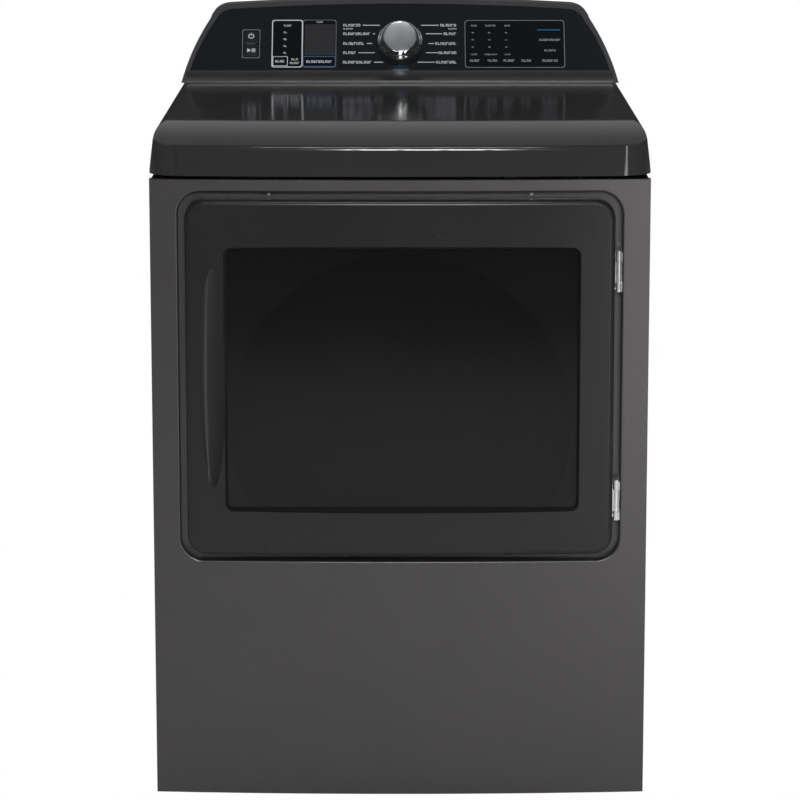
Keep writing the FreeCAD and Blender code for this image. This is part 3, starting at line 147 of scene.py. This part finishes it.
# ---- small helpers ----------------------------------------------------------------
def face_matrix(x, up, out):
    """Placement on the console's face: local X right, local Y up the face, local Z outward."""
    at = KNOB_CENTRE + FACE_RIGHT * x + FACE_UP * (up - KNOB_UP) + FACE_OUT * out
    turn = Matrix((FACE_RIGHT, FACE_UP, FACE_OUT)).transposed().to_4x4()
    return Matrix.Translation(at) @ turn


def mesh_piece(name, build, body, matrix=None, smooth=True):
    """Makes one piece from a function that fills a bmesh, places it and lets it ride."""
    mesh = bpy.data.meshes.new(name)
    shape = bmesh.new()
    build(shape)
    bmesh.ops.recalc_face_normals(shape, faces=shape.faces)
    shape.to_mesh(mesh)
    shape.free()
    for polygon in mesh.polygons:
        polygon.use_smooth = smooth
    piece = bpy.data.objects.new(name, mesh)
    bpy.context.scene.collection.objects.link(piece)
    if matrix is not None:
        piece.matrix_world = matrix
    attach(piece, body)
    return piece


def paint(piece, material):
    piece.data.materials.clear()
    piece.data.materials.append(material)
    return piece


# ---- materials --------------------------------------------------------------------
def surface(name, colour, roughness, vary=0.06, vary_scale=30.0, rough_vary=0.06,
            bump=0.05, bump_scale=900.0, stretch=(1.0, 1.0, 1.0), **sockets):
    """Principled material with uneven colour and roughness and a fine bump."""
    material = bpy.data.materials.new(name)
    material.use_nodes = True
    tree = material.node_tree
    shader = tree.nodes["Principled BSDF"]
    for socket, value in sockets.items():
        shader.inputs[socket.replace("_", " ")].default_value = value
    where = tree.nodes.new("ShaderNodeTexCoord")
    mapping = tree.nodes.new("ShaderNodeMapping")
    mapping.inputs["Scale"].default_value = stretch
    tree.links.new(where.outputs["Object"], mapping.inputs["Vector"])

    cloud = tree.nodes.new("ShaderNodeTexNoise")
    cloud.inputs["Scale"].default_value = vary_scale
    cloud.inputs["Detail"].default_value = 4.0
    tree.links.new(mapping.outputs["Vector"], cloud.inputs["Vector"])
    mix = tree.nodes.new("ShaderNodeMix")
    mix.data_type = "RGBA"
    mix.inputs["A"].default_value = [c * (1.0 - vary) for c in colour] + [1.0]
    mix.inputs["B"].default_value = [min(1.0, c * (1.0 + vary)) for c in colour] + [1.0]
    tree.links.new(cloud.outputs["Fac"], mix.inputs["Factor"])
    tree.links.new(mix.outputs["Result"], shader.inputs["Base Color"])

    spread = tree.nodes.new("ShaderNodeMapRange")
    spread.inputs["To Min"].default_value = max(0.0, roughness - rough_vary)
    spread.inputs["To Max"].default_value = min(1.0, roughness + rough_vary)
    tree.links.new(cloud.outputs["Fac"], spread.inputs["Value"])
    tree.links.new(spread.outputs["Result"], shader.inputs["Roughness"])

    grain = tree.nodes.new("ShaderNodeTexNoise")
    grain.inputs["Scale"].default_value = bump_scale
    grain.inputs["Detail"].default_value = 3.0
    tree.links.new(mapping.outputs["Vector"], grain.inputs["Vector"])
    lift = tree.nodes.new("ShaderNodeBump")
    lift.inputs["Strength"].default_value = bump
    lift.inputs["Distance"].default_value = 0.0004
    tree.links.new(grain.outputs["Fac"], lift.inputs["Height"])
    tree.links.new(lift.outputs["Normal"], shader.inputs["Normal"])
    return material


def flaked_paint(name, colour, roughness, coat, coat_roughness, flake=0.25, metallic=0.75,
                 specular=0.5):
    """Metallic enamel: flakes in the base under a smooth clear coat."""
    material = surface(name, colour, roughness, vary=0.05, vary_scale=14.0, rough_vary=0.03,
                       bump=0.03, bump_scale=260.0, Metallic=metallic, Coat_Weight=coat,
                       Coat_Roughness=coat_roughness, Specular_IOR_Level=specular)
    tree = material.node_tree
    shader = tree.nodes["Principled BSDF"]
    where = tree.nodes.new("ShaderNodeTexCoord")
    flakes = tree.nodes.new("ShaderNodeTexVoronoi")
    flakes.inputs["Scale"].default_value = 2600.0
    tree.links.new(where.outputs["Object"], flakes.inputs["Vector"])
    sparkle = tree.nodes.new("ShaderNodeMix")
    sparkle.data_type = "RGBA"
    sparkle.blend_type = "SCREEN"
    sparkle.inputs["Factor"].default_value = flake
    base = shader.inputs["Base Color"].links[0].from_socket
    dim = tree.nodes.new("ShaderNodeMapRange")
    dim.inputs["From Min"].default_value = 0.25
    dim.inputs["From Max"].default_value = 0.0
    dim.inputs["To Max"].default_value = 0.22
    tree.links.new(flakes.outputs["Distance"], dim.inputs["Value"])
    tree.links.new(base, sparkle.inputs["A"])
    tree.links.new(dim.outputs["Result"], sparkle.inputs["B"])
    tree.links.new(sparkle.outputs["Result"], shader.inputs["Base Color"])
    return material


def brushed(name, colour, roughness, stretch):
    return surface(name, colour, roughness, vary=0.10, vary_scale=60.0, rough_vary=0.08,
                   bump=0.12, bump_scale=240.0, stretch=stretch, Metallic=1.0)


def see_through(name, colour, alpha, roughness=0.03):
    material = surface(name, colour, roughness, vary=0.04, vary_scale=6.0, rough_vary=0.015,
                       bump=0.004, bump_scale=20.0, Alpha=alpha, Specular_IOR_Level=0.3)
    material.surface_render_method = "BLENDED"
    return material


def ink(name, colour):
    return surface(name, colour, 0.55, vary=0.05, vary_scale=200.0, bump=0.05, bump_scale=2500.0)


def make_materials():
    cabinet = (0.082, 0.077, 0.078)
    return {
        "cabinet_paint": flaked_paint("cabinet_paint", cabinet, 0.38, 0.25, 0.25),
        "cover_paint": flaked_paint("cover_paint", (0.030, 0.028, 0.0285), 0.5, 1.0, 0.11, flake=0.10,
                                    metallic=0.0, specular=0.0),
        "console_paint": flaked_paint("console_paint", (0.090, 0.090, 0.095), 0.38, 0.5, 0.14),
        "zinc_sheet": surface("zinc_sheet", (0.50, 0.51, 0.53), 0.38, vary=0.16, vary_scale=22.0,
                              rough_vary=0.14, bump=0.04, bump_scale=120.0, Metallic=1.0),
        "fascia_gloss": surface("fascia_gloss", (0.0135, 0.0155, 0.019), 0.10, vary=0.08,
                                rough_vary=0.02, bump=0.004, bump_scale=60.0, Coat_Weight=0.6,
                                Coat_Roughness=0.04),
        "display_glass": surface("display_glass", (0.008, 0.009, 0.011), 0.06, vary=0.05,
                                 rough_vary=0.02, bump=0.002, bump_scale=40.0, IOR=1.5),
        "circuit_board": surface("circuit_board", (0.02, 0.13, 0.05), 0.5, vary=0.3, vary_scale=300.0),
        "black_plastic": surface("black_plastic", (0.022, 0.022, 0.024), 0.45, bump=0.25,
                                 bump_scale=1500.0),
        "door_plastic": surface("door_plastic", (0.016, 0.016, 0.0163), 0.26, vary=0.08,
                                vary_scale=9.0, rough_vary=0.05, bump=0.015, bump_scale=500.0,
                                Specular_IOR_Level=0.32),
        "grey_plastic": surface("grey_plastic", (0.30, 0.31, 0.32), 0.48, bump=0.22, bump_scale=1300.0),
        "door_glass": see_through("door_glass", (0.006, 0.006, 0.0064), 0.72),
        "hinge_steel": brushed("hinge_steel", (0.74, 0.74, 0.75), 0.22, (1.0, 1.0, 6.0)),
        "knob_chrome": surface("knob_chrome", (0.78, 0.79, 0.80), 0.08, vary=0.03, rough_vary=0.03,
                               bump=0.01, bump_scale=200.0, Metallic=1.0),
        "knob_spun": brushed("knob_spun", (0.56, 0.59, 0.62), 0.33, (1.0, 1.0, 1.0)),
        "key_plastic": surface("key_plastic", (0.016, 0.017, 0.02), 0.22, bump=0.01),
        "drum_coat": surface("drum_coat", (0.34, 0.34, 0.35), 0.36, vary=0.05, vary_scale=18.0,
                             bump=0.10, bump_scale=700.0, Metallic=0.25),
        "steel": brushed("steel", (0.52, 0.52, 0.53), 0.3, (1.0, 8.0, 1.0)),
        "felt": surface("felt", (0.42, 0.40, 0.36), 0.95, vary=0.25, vary_scale=350.0, bump=0.8,
                        bump_scale=700.0, Sheen_Weight=0.4),
        "glide_plastic": surface("glide_plastic", (0.72, 0.72, 0.68), 0.35, bump=0.08),
        "bronze": surface("bronze", (0.48, 0.32, 0.15), 0.4, vary=0.15, vary_scale=200.0, Metallic=1.0),
        "motor_enamel": surface("motor_enamel", (0.03, 0.031, 0.034), 0.4, bump=0.2, bump_scale=300.0),
        "rubber": surface("rubber", (0.02, 0.02, 0.02), 0.7, vary=0.15, vary_scale=80.0, bump=0.35,
                          bump_scale=1200.0),
        "lamp_lens": surface("lamp_lens", (0.75, 0.76, 0.72), 0.25, bump=0.3, bump_scale=500.0),
        "ink_white": ink("ink_white", (0.68, 0.70, 0.74)),
        "ink_soft": ink("ink_soft", (0.36, 0.38, 0.41)),
        "ink_dim": ink("ink_dim", (0.20, 0.21, 0.23)),
        "ink_blue": ink("ink_blue", (0.015, 0.12, 0.28)),
        "ink_deep_blue": ink("ink_deep_blue", (0.0, 0.12, 0.28)),
        "screen_grey": ink("screen_grey", (0.012, 0.013, 0.015)),
    }


def dress_nodes(materials):
    """Gives every CAD node the material of its slot."""
    for part in frame["record"]["subparts"]:
        paint(NODES[part["node"]], materials[part["material_slot"]])


# ---- printed marks on the console -------------------------------------------------
def add_prism(shape, corners):
    """Thin raised block over a flat outline, millimetres on the face, into the bmesh."""
    bottom = [shape.verts.new((x * MM, y * MM, 0.0)) for x, y in corners]
    top = [shape.verts.new((x * MM, y * MM, INK)) for x, y in corners]
    shape.faces.new(top)
    shape.faces.new(bottom[::-1])
    for index in range(len(corners)):
        after = (index + 1) % len(corners)
        shape.faces.new((bottom[index], bottom[after], top[after], top[index]))


def add_bar(shape, x0, x1, low, high):
    add_prism(shape, ((x0, low), (x1, low), (x1, high), (x0, high)))


def add_outline(shape, points, line):
    """Closed band of the given width, just inside a convex outline."""
    middle = Vector((sum(p.x for p in points), sum(p.y for p in points))) / len(points)
    rings = []
    for height in (0.0, INK):
        for shrink in (0.0, line):
            ring = []
            for point in points:
                inward = middle - point
                step = Vector((math.copysign(min(shrink, abs(inward.x)), inward.x),
                               math.copysign(min(shrink, abs(inward.y)), inward.y)))
                at = point + step
                ring.append(shape.verts.new((at.x * MM, at.y * MM, height)))
            rings.append(ring)
    low_out, low_in, high_out, high_in = rings
    count = len(points)
    for index in range(count):
        after = (index + 1) % count
        for near, far in ((low_out, high_out), (high_out, high_in), (high_in, low_in)):
            shape.faces.new((near[index], near[after], far[after], far[index]))


def rounded_points(box, radius, steps=6):
    """Outline of a rounded rectangle, anticlockwise."""
    x0, x1, low, high = box
    points = []
    corners = ((x1 - radius, high - radius, 0), (x0 + radius, high - radius, 90),
               (x0 + radius, low + radius, 180), (x1 - radius, low + radius, 270))
    for centre_x, centre_y, start in corners:
        for step in range(steps + 1):
            angle = math.radians(start + 90.0 * step / steps)
            points.append(Vector((centre_x + radius * math.cos(angle),
                                  centre_y + radius * math.sin(angle))))
    return points


def add_frame(shape, box, radius, line=FRAME_LINE):
    add_outline(shape, rounded_points(box, radius), line)


def add_name(shape, x0, width, middle, high=LETTER_HIGH):
    """A line of small upright blocks that stands for a word, without being one."""
    pitch = 0.86 * high
    count = max(2, round(width / pitch))
    step = width / count
    stem = 0.2 * high
    for index in range(count):
        left = x0 + index * step
        right = left + 0.74 * step
        low = middle - 0.5 * high
        top = low + high
        add_bar(shape, left, left + stem, low, top)
        if index % 3 != 1:
            add_bar(shape, right - stem, right, low, top)
        if index % 2 == 0:
            add_bar(shape, left + stem, right, top - stem, top)
        else:
            add_bar(shape, left + stem, right, low, low + stem)


def add_disc_arc(shape, centre, radius, line, start, end, steps=28):
    """Band along a circle, from one angle to another in degrees."""
    rows = []
    for step in range(steps + 1):
        angle = math.radians(start + (end - start) * step / steps)
        row = []
        for height in (0.0, INK):
            for reach in (radius, radius - line):
                x = centre[0] + reach * math.cos(angle)
                y = centre[1] + reach * math.sin(angle)
                row.append(shape.verts.new((x * MM, y * MM, height)))
        rows.append(row)
    for near, far in zip(rows, rows[1:]):
        for a, b in ((0, 2), (2, 3), (3, 1)):
            shape.faces.new((near[a], far[a], far[b], near[b]))
    for row in (rows[0], rows[-1]):
        shape.faces.new((row[0], row[2], row[3], row[1]))


def side_marks(shape, rows, side, under_width):
    """Programme names and leader lines on one side of the knob; side is -1 for left."""
    for middle, width, start, end in rows:
        left = -NAME_EDGE if side < 0 else NAME_EDGE - width
        add_name(shape, left, width, middle)
        add_bar(shape, start, end, middle - HALF_LEADER, middle + HALF_LEADER)
    left = -NAME_EDGE if side < 0 else NAME_EDGE - under_width
    add_name(shape, left, under_width, rows[0][0] - UNDER_NAME, 2.4)


def programme_marks(shape):
    side_marks(shape, LEFT_ROWS, -1, UNDER_WIDTHS[0])
    side_marks(shape, RIGHT_ROWS, 1, UNDER_WIDTHS[1])


def button_marks(shape):
    """Bezel line round the two keys, and the line between them."""
    add_frame(shape, BUTTON_BOX, 3.0, 1.0)
    x0, x1 = BUTTON_BOX[:2]
    add_bar(shape, x0 + 7.0, x1 - 7.0, BUTTON_SPLIT - 0.35, BUTTON_SPLIT + 0.35)


def power_icon(shape):
    """Open ring with an upright bar in its gap."""
    add_disc_arc(shape, (0.0, 0.0), 4.6, 1.3, 120, 420)
    add_bar(shape, -0.65, 0.65, 0.6, 5.4)


def start_icon(shape):
    """Triangle and three bars."""
    add_prism(shape, ((-5.6, -3.6), (0.2, 0.0), (-5.6, 3.6)))
    for x in (1.4, 3.4, 5.4):
        add_bar(shape, x, x + 1.1, -3.3, 3.3)


def display_marks(shape):
    """Frame of the time scale, its rows, the boxed soft key and the names on the display."""
    x0, x1, low, high = DISPLAY_BOX
    add_frame(shape, (x0, x0 + SCALE_WIDE, low, high), 4.0)
    add_frame(shape, (x0 + 1.8, x0 + 25.0, low + 2.6, low + 20.0), 1.5, 0.9)
    for row in range(SCALE_ROWS):
        width = 12.6 if row == 0 else 5.6
        add_name(shape, x0 + 18.0, width, high - SCALE_TOP - SCALE_STEP * row, 3.0)
    for right, width, up, letter in DISPLAY_NAMES:
        add_name(shape, x0 + right, width, low + up, letter)


def screen_edge(shape):
    x0, x1, low, high = DISPLAY_BOX
    add_frame(shape, (x0 + SCALE_WIDE, x1, low, high), 4.0, 0.8)


def screen_panel(shape):
    x0, x1, low, high = DISPLAY_BOX
    add_bar(shape, x0 + SCALE_WIDE + 3.0, x1 - 2.2, low + 22.0, high - 8.0)


def soft_key_edge(shape):
    x0, x1, low, high = DISPLAY_BOX
    add_frame(shape, (x0 + SCALE_WIDE + 0.3, x1 - 0.4, low + 1.0, low + 20.5), 2.0, 1.4)


def status_frame(shape):
    add_frame(shape, STATUS_BOX, 5.0, 1.0)


def centred_name(shape, middle, width, up, letter):
    add_name(shape, middle - 0.5 * width, width, up, letter)


def status_marks(shape):
    """Small names over columns of tick marks, and a row of option names along the foot."""
    for column, width in TICK_COLUMNS:
        centred_name(shape, column, width, 104.0, 2.8)
        add_name(shape, column - 0.6 * width, 1.2 * width, 51.5, 2.4)
        for row in range(3):
            middle = TICK_TOP - TICK_STEP * row
            add_bar(shape, column - 4.0, column - 0.5, middle - 0.5, middle + 0.5)
    for width, up, letter in LINK_NAMES:
        centred_name(shape, LINK_MIDDLE, width, up, letter)
    for column, width in OPTION_COLUMNS:
        centred_name(shape, column, width, OPTION_UP, 4.0)


def blue_marks(shape):
    """Pointer and bar under the knob, and one lit bar on the status panel."""
    add_prism(shape, ((-2.6, 31.8), (2.6, 31.8), (0.0, 28.2)))
    add_bar(shape, -10.0, 10.4, 23.2, 25.0)
    add_bar(shape, 211.0, 246.0, 95.2, 97.2)


def build_console_marks(materials):
    """Prints every mark on the fascia and the windows, and the symbols on the two keys."""
    face = face_matrix(0.0, 0.0, FASCIA_OUT)
    glass = face_matrix(0.0, 0.0, WINDOW_OUT)
    marks = (
        ("programme_marks", programme_marks, face, "ink_white"),
        ("button_bezel_line", button_marks, face, "ink_dim"),
        ("display_marks", display_marks, glass, "ink_white"),
        ("screen_edge", screen_edge, glass, "ink_dim"),
        ("screen_panel", screen_panel, glass, "screen_grey"),
        ("soft_key_edge", soft_key_edge, glass, "ink_blue"),
        ("status_frame", status_frame, glass, "ink_dim"),
        ("status_marks", status_marks, glass, "ink_soft"),
        ("blue_marks", blue_marks, glass, "ink_deep_blue"),
    )
    for name, build, at, ink_name in marks:
        paint(mesh_piece(name, build, "cabinet", at, False), materials[ink_name])

    middle = 0.5 * (BUTTON_BOX[0] + BUTTON_BOX[1]) * MM
    keys = (
        ("power_icon", power_icon, "power_key", BUTTON_BOX[3]),
        ("start_icon", start_icon, "start_key", BUTTON_BOX[2]),
    )
    for name, build, body, edge in keys:
        at = face_matrix(middle, 0.5 * (BUTTON_SPLIT + edge) * MM, KEY_OUT)
        paint(mesh_piece(name, build, body, at, False), materials["ink_white"])


# ---- knob -------------------------------------------------------------------------
def lathe(shape, profile, turns=144, from_angle=0.0, to_angle=360.0):
    """Revolves (radius, height) points in millimetres about local Z."""
    whole = to_angle - from_angle >= 360.0
    count = turns if whole else turns + 1
    rings = []
    for radius, height in profile:
        ring = []
        for step in range(count):
            angle = math.radians(from_angle + (to_angle - from_angle) * step / turns)
            ring.append(shape.verts.new((radius * MM * math.cos(angle), radius * MM * math.sin(angle),
                                         height * MM)))
        rings.append(ring)
    for near, far in zip(rings, rings[1:]):
        for step in range(turns):
            after = (step + 1) % count
            shape.faces.new((near[step], near[after], far[after], far[step]))
    return rings


def close_ring(shape, ring, height_mm):
    """Fills a ring with a fan to a centre point."""
    centre = shape.verts.new((0.0, 0.0, height_mm * MM))
    for step in range(len(ring)):
        shape.faces.new((ring[step], ring[(step + 1) % len(ring)], centre))


def cap_shape(shape):
    """Shallow dished disc with fine turned grooves and a small raised rim."""
    profile = [(26.0, 22.0), (26.0, 26.0), (25.7, 26.5), (25.1, 26.7), (24.7, 26.5)]
    for step in range(CAP_GROOVES):
        radius = CAP_R * (1.0 - step / CAP_GROOVES)
        dish = CAP_DISH * (1.0 - (radius / CAP_R) ** 2)
        profile.append((radius, CAP_FACE - dish - GROOVE_DEPTH * (step % 2)))
    rings = lathe(shape, profile)
    close_ring(shape, rings[-1], 25.82)
    close_ring(shape, rings[0][::-1], 22.0)


def ring_shape(shape):
    """Two bright steps round the cap: a rounded outer hoop and a broad inner bevel."""
    profile = [(28.2, 13.7), (33.2, 13.7), (33.9, 14.1), (34.3, 15.0), (34.3, 16.0), (33.9, 17.0),
               (33.1, 17.7), (32.3, 18.2), (31.9, 19.0), (31.8, 20.8), (31.5, 22.0), (30.9, 22.9),
               (28.0, 25.2), (27.3, 25.6), (26.6, 25.5), (26.25, 25.0), (26.25, 22.0), (28.2, 20.0),
               (28.2, 13.7)]
    lathe(shape, profile)


def groove_shade_shape(shape):
    """Three black arcs on the upper half of the bevel: painted shade, standing in for the shadow in its grooves.
    """
    profile = [(31.45, 22.3), (31.3, 22.75), (30.6, 23.3), (29.3, 24.3), (29.1, 24.2)]
    for start, end in SHADE_ARCS:
        rings = lathe(shape, profile, 40, start, end)
        for side in (0, -1):
            shape.faces.new([ring[side] for ring in rings])


def skirt_shape(shape):
    """Black grip behind the bright ring, finely ribbed."""
    rings = []
    outline = [(28.0, 13.6), (33.2, 13.6), (33.9, 13.1), (34.4, 8.0), (34.9, 1.4), (34.6, 0.7),
               (30.5, 0.7), (30.0, 9.0)]
    for index, (radius, height) in enumerate(outline):
        ring = []
        for step in range(SKIRT_STEPS):
            angle = 2.0 * math.pi * step / SKIRT_STEPS
            rib = RIB_DEPTH if step % 4 in (0, 1) and index in (2, 3, 4) else 0.0
            reach = (radius - rib) * MM
            ring.append(shape.verts.new((reach * math.cos(angle), reach * math.sin(angle), height * MM)))
        rings.append(ring)
    for near, far in zip(rings, rings[1:] + rings[:1]):
        for step in range(SKIRT_STEPS):
            after = (step + 1) % SKIRT_STEPS
            shape.faces.new((near[step], near[after], far[after], far[step]))


def build_knob(materials):
    """Turned cap and chrome ring in place of the plain ones, with three black arcs of painted shade on the bevel
    and the ribbed skirt.
    """
    at = face_matrix(0.0, KNOB_UP, 0.0)
    cap = mesh_piece("knob_cap_turned", cap_shape, "knob", at)
    paint(cap, materials["knob_spun"])
    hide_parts("knob_cap")
    ring = mesh_piece("knob_ring_chrome", ring_shape, "knob", at)
    paint(ring, materials["knob_chrome"])
    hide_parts("knob_ring")
    # black arcs on the bevel: painted shade, standing in for the shadow in its grooves
    paint(mesh_piece("knob_painted_shade_arcs", groove_shade_shape, "knob", at), materials["fascia_gloss"])
    skirt = mesh_piece("knob_skirt_ribbed", skirt_shape, "knob", at)
    paint(skirt, materials["black_plastic"])


# ---- stage ------------------------------------------------------------------------
def build_camera():
    data = bpy.data.cameras.new("camera")
    data.lens = CAMERA_LENS
    data.clip_end = 60.0
    camera = bpy.data.objects.new("camera", data)
    camera.location = CAMERA_AT
    camera.rotation_euler = (math.radians(90.0 - CAMERA_PITCH), 0.0, 0.0)
    bpy.context.scene.collection.objects.link(camera)
    bpy.context.scene.camera = camera


def build_world():
    """White to the camera; for light and reflections a dome bright only behind the machine."""
    world = bpy.data.worlds.new("studio")
    bpy.context.scene.world = world
    world.use_nodes = True
    tree = world.node_tree
    tree.nodes.clear()
    where = tree.nodes.new("ShaderNodeTexCoord")
    split = tree.nodes.new("ShaderNodeSeparateXYZ")
    tree.links.new(where.outputs["Generated"], split.inputs["Vector"])

    height = tree.nodes.new("ShaderNodeValToRGB")
    height.color_ramp.interpolation = "EASE"
    stops = height.color_ramp.elements
    stops[0].position = 0.0
    stops[0].color = (0.0, 0.0, 0.0, 1.0)
    stops[1].position = 1.0
    stops[1].color = (0.10, 0.10, 0.10, 1.0)
    for sine, level in BACK_BAND:
        stop = stops.new(sine)
        stop.color = (level, level, level, 1.0)
    tree.links.new(split.outputs["Z"], height.inputs["Fac"])

    behind = tree.nodes.new("ShaderNodeMapRange")
    behind.interpolation_type = "SMOOTHSTEP"
    behind.inputs["From Min"].default_value = 0.0
    behind.inputs["From Max"].default_value = BEHIND_EDGE
    tree.links.new(split.outputs["Y"], behind.inputs["Value"])
    band = tree.nodes.new("ShaderNodeMath")
    band.operation = "MULTIPLY"
    tree.links.new(height.outputs["Color"], band.inputs[0])
    tree.links.new(behind.outputs["Result"], band.inputs[1])
    total = tree.nodes.new("ShaderNodeMath")
    total.operation = "MULTIPLY_ADD"
    total.inputs[1].default_value = BACK_LIGHT
    total.inputs[2].default_value = DOME_LIGHT
    tree.links.new(band.outputs["Value"], total.inputs[0])

    dome = tree.nodes.new("ShaderNodeBackground")
    tree.links.new(total.outputs["Value"], dome.inputs["Strength"])
    plain = tree.nodes.new("ShaderNodeBackground")
    plain.inputs["Color"].default_value = (1.0, 1.0, 1.0, 1.0)
    path = tree.nodes.new("ShaderNodeLightPath")
    choose = tree.nodes.new("ShaderNodeMixShader")
    output = tree.nodes.new("ShaderNodeOutputWorld")
    tree.links.new(path.outputs["Is Camera Ray"], choose.inputs["Fac"])
    tree.links.new(dome.outputs["Background"], choose.inputs[1])
    tree.links.new(plain.outputs["Background"], choose.inputs[2])
    tree.links.new(choose.outputs["Shader"], output.inputs["Surface"])


def build_floor():
    """Pale floor, there for the light it throws up; the background stays plain white."""
    mesh = bpy.data.meshes.new("floor")
    corners = [(-1, -1), (1, -1), (1, 1), (-1, 1)]
    mesh.from_pydata([(x * FLOOR_REACH, y * FLOOR_REACH, 0.0) for x, y in corners], [], [(0, 1, 2, 3)])
    floor = bpy.data.objects.new("floor", mesh)
    bpy.context.scene.collection.objects.link(floor)
    paint(floor, surface("floor", (0.82, 0.82, 0.82), 0.8, vary=0.01, bump=0.02, bump_scale=40.0,
                         Specular_IOR_Level=0.0))
    floor.visible_camera = False


def area_light(name, at, aim, width, height, watts, mirrored):
    """Rectangular light aimed at a point; only a mirrored one shows in glossy surfaces."""
    data = bpy.data.lights.new(name, "AREA")
    data.shape = "RECTANGLE"
    data.size = width
    data.size_y = height
    data.energy = watts
    light = bpy.data.objects.new(name, data)
    light.location = at
    light.rotation_euler = (Vector(aim) - Vector(at)).to_track_quat("-Z", "Y").to_euler()
    light.visible_glossy = mirrored
    bpy.context.scene.collection.objects.link(light)


def build_lights():
    for light in LIGHTS:
        area_light(*light)


def main():
    bpy.context.scene.view_settings.view_transform = "Standard"
    build_camera()
    build_world()
    build_floor()
    build_lights()
    materials = make_materials()
    dress_nodes(materials)
    build_console_marks(materials)
    build_knob(materials)


main()
